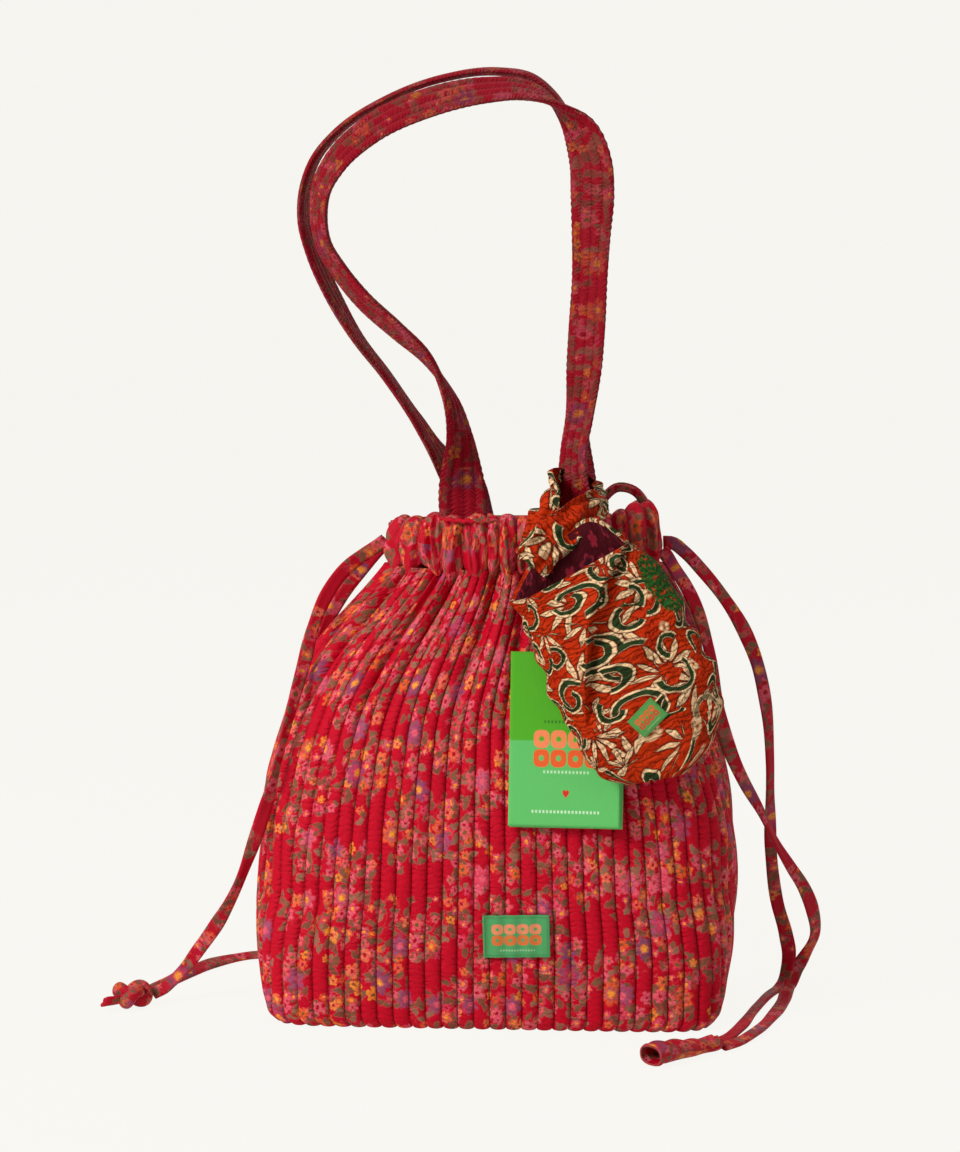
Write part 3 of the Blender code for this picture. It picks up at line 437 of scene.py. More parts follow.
def quilted_finish(name, group, pucker_pitch, pucker_depth, slant, painted_shade=0.0):
    """Printed cloth quilted in channels: puckers run from every stitch line and fade on the crest.

    The map called stitch holds the channel number across and metres along. A slant leans the puckers
    both ways from the stitch line, as on a band that is stitched up one channel and down the next.
    Painted shade is the share of a dark red laid over the print: it paints a strap darker, as if in shade.
    """
    made, shade, shader = new_finish(name, 0.62, 0.10)
    cloth = shade.own_map("cloth")
    channel, along, _ = shade.parts(shade.own_map("stitch"))
    place = shade.sum("FRACT", channel)
    number = shade.sum("FLOOR", channel)
    from_crest = abs(place * 2.0 - 1.0)
    nearness = from_crest ** 1.3 * 0.75 + 0.25
    stir = shade.noise(shade.join(number * 7.3, along * 110.0, place), 1.0)
    phase = (along + from_crest * slant) * (math.pi / pucker_pitch) + stir * 10.0
    folds = abs(shade.sine(phase)) ** 0.7
    patches = shade.noise(shade.join(number * 3.7, along * 28.0), 1.0, 1.0)
    patches = shade.edge(patches - 0.48, 0.22)
    depth = patches * pucker_depth + pucker_depth * 0.35

    # Painted shade: the print is darkened towards a dark red by the painted_shade share
    colour = shade.blend(painted_shade, print_colour(shade, group, cloth), HANDLE_PAINTED_SHADE)
    sewn = shade.edge(from_crest - 0.92, 0.08)
    colour = shade.blend(sewn * 0.5, colour, STITCH_SHADOW)
    hollow = shade.edge(0.42 - folds, 0.25) * nearness * (patches * 0.42 + 0.04)
    colour = shade.blend(hollow, colour, PUCKER_SHADOW)
    crease = shade.noise(cloth, 140.0, 3.0, 0.6) * 0.0009
    height = folds * nearness * depth + crease + weave_height(shade, cloth)
    dress(shade, shader, colour, height, 1.0)
    return made


def plain_print_finish(name, group, crease_depth, painted_shade):
    """Printed cloth that isn't quilted, with soft creases."""
    made, shade, shader = new_finish(name, 0.56, 0.14)
    cloth = shade.own_map("cloth")
    # Painted shade: the print is darkened towards a dark red by the painted_shade share, on the casing and
    # the cords
    colour = shade.blend(painted_shade, print_colour(shade, group, cloth), CLOTH_PAINTED_SHADE)
    stretched = shade.vector("MULTIPLY", cloth, (1.0, 0.35, 1.0))
    crease = shade.noise(stretched, 150.0, 3.0, 0.6) * crease_depth
    dress(shade, shader, colour, crease + weave_height(shade, cloth))
    return made


def lining_finish():
    """Dark maroon cloth with faint flowers, crumpled; its tones are partly the cloth's own maroon and partly
    painted shade of the pouch's inside.
    """
    made, shade, shader = new_finish("maroon_lining", 0.85, 0.12)
    cloth = shade.own_map("cloth")
    petal, ring, _, luck = blossoms(shade, cloth, 0.0085, 0.0034, 0.75, 5.0, 4.0, 0.25)
    # Painted shade: both tones are darker than the maroon cloth, for the shade inside the pouch's mouth
    colour = shade.blend(petal, tone(64, 4, 14), tone(126, 26, 42))
    paint = shade.choice(luck[1], (0.0, tone(128, 20, 40)), (0.5, tone(60, 12, 26)))
    colour = shade.blend(ring, colour, paint)
    crumple = shade.noise(cloth, 90.0, 3.0, 0.55) * 0.0060
    dress(shade, shader, colour, crumple + weave_height(shade, cloth, 0.0007, 0.00004))
    return made


# Block print of the small pouch

CREAM = tone(240, 200, 152)
HOOK_GREEN = tone(38, 58, 28)
OUTLINE_BROWN = tone(74, 16, 4)
LEAF_FANS = ((0.034, 10.0, 1.1, 9.1), (0.026, 8.0, 0.80, 17.3))
HOOKS = ((0.0290, 0.0098, 15.2), (0.0225, 0.0066, 6.6))
GREEN_PATCH_AT = (0.099, 0.268)
CRINKLE_PITCH = 0.0036


def leaf_fans(shade, cloth, colour):
    """Fans of pointed leaves, one to a cell.

    A leaf lies along the middle of each sector of a fan: its half width is a parabola over its length.
    """
    for cell, count, share, seed in LEAF_FANS:
        x, y, luck, _ = cell_motif(shade, cloth, cell, seed)
        far = shade.length(x, y)
        angle = shade.angle(x, y, luck[0])
        sector = shade.sum("FRACT", angle * (count / math.tau) + 50.5) - 0.5
        aside = abs(far * shade.sine(sector * (math.tau / count)))
        run = (far - 0.31) * (1.0 / 0.22)
        leaf = (1.0 - run * run) * 0.052 - aside
        fan = (shade.cosine(angle) - 0.15) * 0.4
        leaf = shade.least(leaf, fan, share - luck[2])
        colour = shade.blend(shade.edge(leaf + 0.022, 0.008), colour, OUTLINE_BROWN)
        colour = shade.blend(shade.edge(leaf, 0.010), colour, CREAM)
        vein = shade.edge(0.006 - aside, 0.005) * shade.edge(leaf, 0.01)
        colour = shade.blend(vein * 0.6, colour, tone(176, 96, 52))
    return colour


def hooks(shade, cloth, colour):
    """Hooks: arcs of a ring round a cell's middle, brown outside, then cream, and dark green inside."""
    for cell, radius, seed in HOOKS:
        x, y, luck, _ = cell_motif(shade, cloth, cell, seed)
        far = shade.length(x, y)
        arc = (shade.cosine(shade.angle(x, y, luck[0])) + 0.35) * 0.25
        strokes = ((0.0024, radius, OUTLINE_BROWN), (0.0020, radius, CREAM),
                   (0.0013, radius - 0.0004, HOOK_GREEN))
        for width, middle, paint in strokes:
            band = width / cell - abs(far - middle / cell)
            stroke = shade.least(band, arc, 0.80 - luck[2])
            colour = shade.blend(shade.edge(stroke, 0.008), colour, paint)
    return colour


def green_patch(shade, source, colour):
    """A speckled green oval at the pouch's upper right, with a ragged edge."""
    x, _, z = shade.parts(shade.node("ShaderNodeTexCoord").outputs["Object"])
    right = x - GREEN_PATCH_AT[0]
    up = z - GREEN_PATCH_AT[1]
    along = right * 0.58 + up * -0.81
    across = right * 0.81 + up * 0.58
    oval = abs(along * 52.0) ** 2.5 + abs(across * 118.0) ** 2.0
    patch = shade.edge(1.35 - (shade.noise(source, 220.0) * 0.8 + oval), 0.08)
    speckle = shade.edge(shade.noise(source, 330.0, 1.0) - 0.60, 0.03)
    return shade.blend(patch, colour, shade.blend(speckle, tone(34, 84, 30), tone(170, 60, 24)))


def block_print_finish():
    """Block print on orange red: dark green hooks edged in cream, and fans of pointed cream leaves.

    Rows of hand quilting crinkle it: a sine along the cloth whose phase wanders with two noises.
    """
    made, shade, shader = new_finish("block_print", 0.72, 0.08)
    source = shade.own_map("cloth")
    cloth = shade.drift(source, source, 90.0, 2.0, (0.0045, 0.0045, 0.0))
    colour = shade.blend(shade.noise(source, 60.0), tone(156, 26, 2), tone(208, 56, 4))
    colour = hooks(shade, cloth, leaf_fans(shade, cloth, colour))
    petal, ring, heart, _ = blossoms(shade, cloth, 0.023, 0.0044, 0.42, 2.0, 31.0, 0.2)
    colour = shade.blend(petal, colour, CREAM)
    colour = shade.blend(ring * 0.25, colour, tone(190, 120, 70))
    colour = shade.blend(heart, colour, tone(150, 70, 30))
    colour = green_patch(shade, source, colour)

    _, along, _ = shade.parts(source)
    stir = shade.noise(source, 150.0, 3.0, 0.65)
    phase = stir * 9.0 + shade.noise(source, 55.0) * 10.0
    rows = abs(shade.sine(along * (math.pi / CRINKLE_PITCH) + phase))
    patchy = shade.edge(shade.noise(source, 130.0) - 0.50, 0.20) * 0.86
    # Painted shade: the crinkle's creases are darkened in patches towards a dark brown red
    crease = shade.edge(0.27 - rows, 0.22) * patchy
    colour = shade.blend(crease, colour, tone(66, 8, 2))
    height = rows ** 0.6 * 0.0014 + stir * 0.0042 + weave_height(shade, source)
    dress(shade, shader, colour, height, 1.0)
    return made


# Labels and card

def rounded_blocks(shade, x, y, left, right, low, high, count):
    """Two rows of plain rounded blocks, each with a small round eye; the share of cover from 0 to 1."""
    u = shade.sum("FRACT", (x - left) * (count / (right - left))) - 0.5
    v = shade.sum("FRACT", (y - low) * (2.0 / (high - low))) - 0.5
    block = shade.edge(1.0 - (abs(u * 2.16) ** 3.0 + abs(v * 2.12) ** 3.0), 0.12)
    eye = shade.edge(0.15 - shade.length(u, v), 0.04)
    within = (x > left) * (x < right) * (y > low) * (y < high)
    return block * (1.0 - eye) * within


def dashed_line(shade, x, y, level, thick, soft, turns, shortest, reach):
    """A fine row of dashes at a level: a sine across decides where a dash is."""
    row = shade.edge(thick - abs(y - level), soft)
    dashes = shade.sine(x * turns) > shortest
    return row * dashes * (abs(x - 0.5) < reach)


def woven_label_finish(name, ground, weave_one, weave_two):
    """Woven label: a plain ground, a stitched border, and two rows of rounded blocks in two tones."""
    made, shade, shader = new_finish(name, 0.75, 0.2)
    x, y, _ = shade.parts(shade.own_map("cloth"))
    weave = shade.blend(shade.edge(y - 0.54, 0.02), weave_two, weave_one)
    colour = shade.blend(rounded_blocks(shade, x, y, 0.12, 0.88, 0.28, 0.80, 4.0), ground, weave)
    row = dashed_line(shade, x, y, 0.17, 0.020, 0.01, 150.0, -0.3, 0.27)
    colour = shade.blend(row * 0.6, colour, tone(190, 222, 180))
    from_edge = shade.least(0.5 - abs(x - 0.5), (0.5 - abs(y - 0.5)) * 0.64)
    stitched = shade.edge(0.008 - abs(from_edge - 0.035), 0.004)
    colour = shade.blend(stitched * 0.35, colour, tone(24, 92, 44))
    threads = shade.sine(y * 420.0)
    colour = shade.blend(threads * 0.06 + 0.06, colour, tone(20, 60, 30))
    dress(shade, shader, colour, threads * 0.00006)
    return made


TAG_LINES = (
    (0.312, 0.21, tone(206, 234, 196)),
    (0.085, 0.31, tone(222, 242, 214)),
    (0.60, 0.20, tone(30, 84, 24)),
)


def tag_card_finish():
    """Printed card: two greens, rounded blocks in two oranges, a small heart and fine dashed lines."""
    made, shade, shader = new_finish("green_tag_card", 0.6, 0.2)
    x, y, _ = shade.parts(shade.own_map("cloth"))
    ribbing = shade.sine(x * 330.0)
    fine = ribbing * 0.05 + 0.05
    top = shade.blend(fine, tone(78, 166, 30), tone(46, 132, 24))
    low = shade.blend(fine, tone(94, 186, 98), tone(70, 160, 80))
    colour = shade.blend(shade.edge(y - 0.49, 0.004), low, top)
    inks = shade.blend(shade.edge(y - 0.445, 0.01), tone(226, 92, 40), tone(238, 132, 84))
    colour = shade.blend(rounded_blocks(shade, x, y, 0.20, 0.82, 0.335, 0.555, 4.0), colour, inks)
    for level, reach, ink in TAG_LINES:
        row = dashed_line(shade, x, y, level, 0.008, 0.003, 190.0, -0.2, reach)
        colour = shade.blend(row * 0.7, colour, ink)
    u = (x - 0.505) * 22.0
    v = (y - 0.182) * 33.0 - abs(u) ** 0.5 * 0.65
    heart = shade.edge(0.42 - (u * u + v * v), 0.1)
    colour = shade.blend(heart, colour, tone(206, 44, 30))
    dress(shade, shader, colour, ribbing * 0.00003)
    return made


# Paper of the floor

def seen_rays(shade):
    """One for rays from the camera, from gloss and through glass, else zero."""
    rays = shade.node("ShaderNodeLightPath").outputs
    first = shade.sum("MAXIMUM", rays["Is Camera Ray"], rays["Is Glossy Ray"])
    return shade.sum("MAXIMUM", first, rays["Is Transmission Ray"])


def paper_finish():
    """Floor and backdrop: mostly its own pale colour to the camera, and still taking a soft shadow."""
    made, shade, shader = new_finish("pale_paper", 0.9, 0.0)
    shade.feed(shader.inputs["Base Color"], PAPER)
    glow = shade.node("ShaderNodeEmission")
    shade.feed(glow.inputs["Color"], PAPER)
    shade.feed(glow.inputs["Strength"], PAPER_GLOW)
    shown = shade.mixed_shaders(seen_rays(shade) * PAPER_OWN_SHARE, shader, glow)
    shade.feed(made.node_tree.nodes["Material Output"].inputs["Surface"], shown)
    return made


# Meshes from grids of points

def lattice(name, points, finish, maps, wrap_rows=False):
    """A piece from a grid of points, closed across its columns: each four neighbours are a face.

    Equal points become one. A map has one more row or column than a grid that closes, so that its numbers
    run on across the closing edge. The piece is turned so that its volume is positive, faces outward.
    """
    rows, columns = points.shape[:2]
    row_faces = rows if wrap_rows else rows - 1
    row, column = np.meshgrid(np.arange(row_faces), np.arange(columns), indexing="ij")
    row, column = row.ravel(), column.ravel()
    corners = [(row, column), (row, column + 1), (row + 1, column + 1), (row + 1, column)]
    faces = np.stack([(r % rows) * columns + (c % columns) for r, c in corners], axis=1)
    flat = points.reshape(-1, 3)
    first, second, third, fourth = (flat[faces[:, corner]] for corner in range(4))
    volume = np.einsum("ij,ij->", first, np.cross(second, third))
    volume = volume + np.einsum("ij,ij->", first, np.cross(third, fourth))
    order = [3, 2, 1, 0] if volume < 0.0 else [0, 1, 2, 3]
    mesh = bpy.data.meshes.new(name)
    mesh.from_pydata(flat.tolist(), [], faces[:, order].tolist())
    for key, values in maps.items():
        layer = mesh.uv_layers.new(name=key)
        coordinates = np.stack([values[r, c] for r, c in corners], axis=1)[:, order]
        layer.data.foreach_set("uv", coordinates.reshape(-1).astype(np.float32))
    work = bmesh.new()
    work.from_mesh(mesh)
    bmesh.ops.remove_doubles(work, verts=work.verts, dist=2e-6)
    bmesh.ops.dissolve_degenerate(work, edges=work.edges, dist=1e-7)
    work.to_mesh(mesh)
    work.free()
    mesh.shade_smooth()
    piece = bpy.data.objects.new(name, mesh)
    bpy.context.collection.objects.link(piece)
    mesh.materials.append(finish)
    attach(piece, "root")
    return piece


def map_of(first, second):
    return np.stack(np.broadcast_arrays(first, second), axis=2)


def smooth_step(value):
    value = np.clip(value, 0.0, 1.0)
    return value * value * (3.0 - 2.0 * value)


def through_points(at, keys, values):
    """Smooth curve through values: a cubic between each two keys, with slopes from their neighbours."""
    keys = np.asarray(keys, float)
    values = np.asarray(values, float)
    slopes = np.gradient(values, keys, axis=0)
    at = np.clip(np.asarray(at, float), keys[0], keys[-1])
    cell = np.clip(np.searchsorted(keys, at, side="right") - 1, 0, len(keys) - 2)
    span = keys[cell + 1] - keys[cell]
    share = (at - keys[cell]) / span
    if values.ndim > 1:
        share = share[:, None]
        span = span[:, None]
    start = values[cell] * (2 * share**3 - 3 * share**2 + 1)
    start = start + slopes[cell] * span * (share**3 - 2 * share**2 + share)
    end = values[cell + 1] * (3 * share**2 - 2 * share**3)
    return start + end + slopes[cell + 1] * span * (share**3 - share**2)


def run_of(points):
    """Distance run along a line of points, from 0 at its start."""
    return np.concatenate([[0.0], np.cumsum(np.linalg.norm(np.diff(points, axis=0), axis=1))])


def even_route(points, count):
    """Points at even steps along a smooth curve through a route's points, with the distance run."""
    points = np.asarray(points, float)
    chord = run_of(points)
    fine = through_points(np.linspace(0.0, chord[-1], 900), chord, points)
    run = run_of(fine)
    places = np.linspace(0.0, run[-1], count)
    return np.stack([np.interp(places, run, fine[:, axis]) for axis in range(3)], axis=1), places


def unit(vectors):
    return vectors / np.linalg.norm(vectors, axis=-1, keepdims=True)


def square_to(facing, ahead):
    """Unit directions as near as may be to a facing, and square to the line of travel."""
    return unit(facing - ahead * np.sum(facing * ahead, axis=1)[:, None])


def full_turn(count):
    """Angles at even steps round once, without the last one that would repeat the first."""
    return np.linspace(0.0, 2 * math.pi, count + 1)[:-1]


def rounded(wave, power):
    """A sine or cosine raised to a power with its sign kept, which squares or sharpens an oval."""
    return np.sign(wave) * np.abs(wave) ** power


def carried(centre, broad, thin, across, through):
    """A section carried along a line: the line's point, plus across times broad, plus through times thin."""
    return centre[:, None, :] + broad[:, None, :] * across[..., None] + thin[:, None, :] * through[..., None]


def closed_ends(points):
    """Rings of points, with one more ring at each end that is drawn together in the end ring's middle."""
    first, last = (np.repeat(ring.mean(axis=1, keepdims=True), points.shape[1], axis=1)
                   for ring in (points[:1], points[-1:]))
    return np.concatenate([first, points, last])


def ripple(at, turns, seed):
    """Smooth random wave from -1 to 1: sines with whole numbers of turns and seeded phases."""
    lot = np.random.default_rng(seed)
    total = np.zeros_like(np.asarray(at, float))
    weights = lot.uniform(0.5, 1.0, len(turns))
    for count, weight, phase in zip(turns, weights, lot.uniform(0.0, 2 * math.pi, len(turns))):
        total = total + weight * np.sin(2 * math.pi * count * at + phase)
    return total / weights.sum()


def bell(value, middle, width):
    """A smooth hill: 1 at the middle, falling as the exponential of minus the squared distance in widths."""
    return np.exp(-((value - middle) / width) ** 2)


# Quilted body

BODY_HEIGHT = 0.268
CHANNELS = 84
FOLDS = 23
CLOTH_WALL = 0.004
CHANNEL_STEPS = np.array([0.0, 0.07, 0.19, 0.34, 0.5, 0.66, 0.81, 0.93])
RIB_DEPTH = 0.0027
FOLD_DEPTH = 0.0118
FOLD_TOP = 0.66
RIB_TOP = 0.76
BODY_LEVELS = [0.0, 0.004, 0.012, 0.030, 0.060, 0.095, 0.137, 0.173, 0.225, 0.268]
BODY_HALF_WIDTHS = [0.1288, 0.1332, 0.1362, 0.1400, 0.1428, 0.1424, 0.1382, 0.1290, 0.1080, 0.0790]
BODY_HALF_DEPTHS = [0.0725, 0.0750, 0.0765, 0.0778, 0.0785, 0.0782, 0.0760, 0.0710, 0.0590, 0.0400]
SQUARE_LEVELS = [0.0, 0.020, 0.075, 0.268]
SQUARENESS = [10.0, 6.5, 3.6, 2.3]
MOUTH_SHIFT = 0.016
LEAN_FROM = 0.173
BASE_SEAM_HALF = 0.064
BASE_CHANNEL_RISE = 0.0012
BELLY_ROW = 34
CHANNEL_TUCK = 0.0016


def body_profile(height):
    """Half width, half depth, squareness and sideways shift of the body at a height."""
    half_width = float(through_points([height], BODY_LEVELS, BODY_HALF_WIDTHS)[0])
    half_depth = float(through_points([height], BODY_LEVELS, BODY_HALF_DEPTHS)[0])
    square = float(np.interp(height, SQUARE_LEVELS, SQUARENESS))
    shift = MOUTH_SHIFT * float(smooth_step((height - LEAN_FROM) / (BODY_HEIGHT - LEAN_FROM)))
    return half_width, half_depth, square, shift


def plan_points(half_width, half_depth, square, shift, fractions):
    """Superellipse points and outward normals at shares of its length, counted from the front centre."""
    angle = np.linspace(-math.pi / 2, 1.5 * math.pi, 2881)
    x = half_width * rounded(np.cos(angle), 2 / square)
    y = half_depth * rounded(np.sin(angle), 2 / square)
    run = np.concatenate([[0.0], np.cumsum(np.hypot(np.diff(x), np.diff(y)))])
    at = (fractions % 1.0) * run[-1]
    reach = 0.0012 * run[-1]
    before, after = (at - reach) % run[-1], (at + reach) % run[-1]
    tangent = unit(np.stack([np.interp(after, run, x) - np.interp(before, run, x),
                             np.interp(after, run, y) - np.interp(before, run, y)], axis=1))
    normal = np.stack([tangent[:, 1], -tangent[:, 0]], axis=1)
    return np.stack([np.interp(at, run, x) + shift, np.interp(at, run, y)], axis=1), normal


def quilt_relief(fractions, height):
    """How far the cloth stands out: a flat-topped rib in each channel, deep folds to the mouth, soft dents.

    The folds are waves whose places wander round the bag, so that their widths differ, and that start at
    heights which wander too. The left shoulder stands out a little more than the right.
    """
    rib = np.abs(np.sin(math.pi * CHANNELS * fractions)) ** 0.5
    fold_place = FOLDS * fractions + 0.42 * ripple(fractions, (5, 9, 13), 8) + 0.10 * math.sin(25 * height)
    fold = np.abs(np.sin(math.pi * fold_place)) ** 0.75
    begins = 0.140 + 0.034 * ripple(fractions, (6, 13, 19), 12)
    rise = smooth_step((height - begins) / (BODY_HEIGHT - begins)) ** 1.2
    depth = FOLD_DEPTH * (1.0 + 0.42 * ripple(fractions, (4, 9, 15), 21))
    dent = 0.0018 * ripple(fractions, (2, 3, 5), 31) * math.sin(math.pi * min(1.0, height / BODY_HEIGHT))
    dent = dent + 0.0011 * ripple(fractions + 1.7 * height, (6, 8, 11), 35)
    shoulder = 0.0045 * bell(fractions % 1.0, 0.76, 0.10) * bell(height, 0.222, 0.030)
    foot = smooth_step(height / 0.012)
    relief = RIB_DEPTH * (rib - RIB_TOP) * (0.45 + 0.55 * foot)
    return relief * (1.0 - 0.30 * rise), depth * (fold - FOLD_TOP) * rise + dent * foot + shoulder


def body_row(height, inset, fractions, ribbed):
    """One level of the body: the plan's points, moved outward by folds and ribs and inward by the inset."""
    point, normal = plan_points(*body_profile(height), fractions)
    relief, folds = quilt_relief(fractions, height)
    out = folds - inset + (relief if ribbed else 0.0)
    return np.column_stack([point + normal * out[:, None], np.full(len(point), height)])


def rows_to_seam(ring, shares, height):
    """Rows from a ring to the seam under it: each channel runs straight in to the centre line."""
    columns = len(ring)
    opposite = (columns // 2 - np.arange(columns)) % columns
    x = np.clip(ring[:, 0], -BASE_SEAM_HALF, BASE_SEAM_HALF)
    seam = np.column_stack([0.5 * (x + x[opposite]), np.zeros(columns), np.full(columns, height)])
    return [ring * share + seam * (1.0 - share) for share in shares]


def quilted_body(finish):
    """The whole bag as one surface: from the seam under the base up the outside, over the rim, down inside.

    The base is folded under and boxed at its corners, with its channels a little raised from the floor.
    """
    fractions = (np.arange(CHANNELS)[:, None] + CHANNEL_STEPS[None, :]).ravel() / CHANNELS + 0.5
    columns = len(fractions)
    heights = np.concatenate([np.linspace(0.0, 0.010, 6), np.linspace(0.010, BODY_HEIGHT, 114)[1:]])
    outer = [body_row(h, 0.0, fractions, True) for h in heights]
    inner = [body_row(h, CLOTH_WALL, fractions, False) for h in np.linspace(BODY_HEIGHT, CLOTH_WALL, 14)]

    rib, _ = quilt_relief(fractions, 0.012)
    hollow = BASE_CHANNEL_RISE * (1.0 - (rib - rib.min()) / (rib.max() - rib.min()))
    base = rows_to_seam(outer[0], (0.0, 0.1, 0.3, 0.5, 0.7, 0.88, 0.96), 0.0)
    for row in base + outer[:1]:
        row[:, 2] = hollow
    floor = rows_to_seam(inner[-1], (0.9, 0.5, 0.0), CLOTH_WALL)
    points = np.stack(base + outer + inner + floor)

    belly = np.concatenate([outer[BELLY_ROW], outer[BELLY_ROW][:1]])
    across = run_of(belly) + CHANNEL_TUCK * np.floor(np.arange(columns + 1) / len(CHANNEL_STEPS))
    along = run_of(points[:, columns // 2])
    channel = np.concatenate([(fractions - 0.5) * CHANNELS, [CHANNELS]])
    maps = {"cloth": map_of(across[None, :], along[:, None]),
            "stitch": map_of(channel[None, :], along[:, None])}
    piece = lattice("quilted_cloth_body", points, finish, maps)
    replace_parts(piece, "quilted_body")


# Casing round the mouth

CASING_FOOT = BODY_HEIGHT + 0.0003
CASING_HEIGHT = 0.033
CASING_STEPS = 300
SLIT_HALF = 0.010
MOUTH_HALF_WIDTH = 0.077
MOUTH_HALF_DEPTH = 0.038
MOUTH_SQUARENESS = 2.3
FRONT_PLEATS = (0.0, 0.06, 0.14, 0.225, 0.30, 0.385, 0.425, 0.485,
                0.545, 0.60, 0.68, 0.75, 0.81, 0.87, 0.94, 1.0)
BACK_PLEATS = (0.0, 0.07, 0.13, 0.19, 0.27, 0.33, 0.40, 0.46,
               0.53, 0.61, 0.67, 0.74, 0.80, 0.88, 0.94, 1.0)


def mouth_line(fractions):
    return plan_points(MOUTH_HALF_WIDTH, MOUTH_HALF_DEPTH, MOUTH_SQUARENESS, MOUTH_SHIFT, fractions)


def slit_share():
    """Share of the mouth's length from the front centre to the side slit."""
    fractions = np.linspace(0.0, 0.25, 2001)
    point, _ = mouth_line(fractions)
    return float(fractions[np.argmin(np.abs(point[:, 1] + SLIT_HALF))])


def puffs_between(pleats, stations):
    """Number of the puff that a station is in, the station's share across it, and how far it swells there."""
    pleats = np.array(pleats)
    puff = np.clip(np.searchsorted(pleats, stations, side="right") - 1, 0, len(pleats) - 2)
    wide = pleats[puff + 1] - pleats[puff]
    across = (stations - pleats[puff]) / wide
    swell = np.sin(math.pi * across) ** 0.6 * np.minimum(1.0, 0.35 + wide / 0.10)
    return puff, across[:, None], swell[:, None]


def casing(name, node, front, pleats, seed, finish):
    """Half of the gathered casing: a soft tube that swells between its pleats and is drawn in at each.

    A wide puff swells more than a narrow one, hangs lower at the drawn seam, and stands higher on top.
    """
    slit = slit_share()
    stations = np.linspace(0.0, 1.0, CASING_STEPS)
    point, normal = mouth_line((-slit if front else 0.5 - slit) + stations * 2 * slit)
    puff, across, swell = puffs_between(pleats, stations)
    turn = full_turn(60)
    outward = rounded(np.cos(turn), 0.75)[None, :]
    upward = (0.5 + 0.5 * rounded(np.sin(turn), 0.85))[None, :]
    facing = np.clip(outward, 0.0, 1.0) * np.sin(math.pi * np.clip(0.08 + 0.84 * upward, 0, 1)) ** 0.5
    slack = ripple(stations, (3, 5, 8), seed)[:, None]

    lean = swell * (0.75 + 0.25 * np.sin(5.0 * upward + 9.0 * slack + 3.0 * puff[:, None]))
    wrinkle = np.sin(2 * math.pi * (1.3 * across + 2.2 * upward + 0.37 * puff[:, None]))
    gather = np.sin(2 * math.pi * (31.0 * stations[:, None] + 0.6 * upward + 0.8 * slack))
    out = 0.0052 * outward + (0.0078 * lean - 0.0030) * facing + 0.0012 * slack * facing
    out = out + (0.0009 * wrinkle + 0.0007 * gather) * facing - 0.0012 * swell * np.clip(-outward, 0.0, 1.0)

    low = 0.0030 - 0.0145 * swell * (0.70 + 0.55 * slack)
    high = CASING_HEIGHT - 0.0035 + 0.0038 * swell + 0.0014 * slack
    high = high + 0.0065 * bell(point[:, :1], 0.084, 0.010) - 0.0050 * bell(point[:, :1], -0.058, 0.016)
    if not front:
        high = high - 0.0085 * np.sin(math.pi * stations)[:, None] ** 0.7
    shell = carried_round(point, normal, out, CASING_FOOT + low + (high - low) * upward)
    level = CASING_FOOT + 0.0060 + (CASING_HEIGHT - 0.0160) * upward
    room = carried_round(point, normal, 0.0034 * outward, level)
    points = np.concatenate([shell, room[::-1][::6]])

    both = np.concatenate([stations, stations[::-1][::6], [0.0]])
    shift = np.concatenate([puff, puff[::-1][::6], [0]])
    length = 0.30 * both + 0.04 * shift + 0.7 * front
    around = np.linspace(0.0, 0.088, len(turn) + 1)
    maps = {"cloth": map_of(length[:, None], around[None, :])}
    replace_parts(lattice(name, points, finish, maps, wrap_rows=True), node)


def carried_round(point, normal, out, height):
    """Points beside the mouth line: so far out along its normal, at so great a height."""
    flat = point[:, None, :] + normal[:, None, :] * out[:, :, None]
    height = np.broadcast_to(height, flat.shape[:2])
    return np.concatenate([flat, height[:, :, None]], axis=2)


# Handles

STRAP_RISE = 0.255
STRAP_HALF_WIDTH = 0.0148
STRAP_CHANNELS = 4
STRAP_STEPS = 300
FOOT_REACH = 0.0325
EDGE_RIPPLE = 0.0003
EDGE_RIPPLE_PITCH = 0.0045
FRONT_ARCH = np.array([
    (-0.0192, 0.000, 0.078, 30), (-0.0203, 0.002, 0.172, 62), (-0.0252, 0.006, 0.250, 80),
    (-0.0300, 0.008, 0.290, 90), (-0.0406, 0.010, 0.354, 104), (-0.0588, 0.012, 0.418, 112),
    (-0.0782, 0.014, 0.485, 113), (-0.0932, 0.016, 0.556, 112), (-0.1020, 0.017, 0.613, 112),
    (-0.1050, 0.018, 0.682, 114), (-0.1034, 0.018, 0.742, 118), (-0.0950, 0.018, 0.803, 123),
    (-0.0738, 0.018, 0.878, 128), (-0.0388, 0.018, 0.940, 127), (-0.0056, 0.018, 0.967, 122),
    (0.0137, 0.018, 0.968, 113), (0.0284, 0.018, 0.950, 98), (0.0386, 0.018, 0.918, 76),
    (0.0478, 0.018, 0.879, 46), (0.0554, 0.017, 0.796, 25), (0.0563, 0.016, 0.739, 23),
    (0.0557, 0.016, 0.639, 33), (0.0549, 0.015, 0.534, 40), (0.0531, 0.014, 0.403, 42),
    (0.0519, 0.013, 0.330, 43), (0.0492, 0.010, 0.213, 56), (0.0464, 0.004, 0.145, 58),
    (0.0457, 0.000, 0.085, 50)])
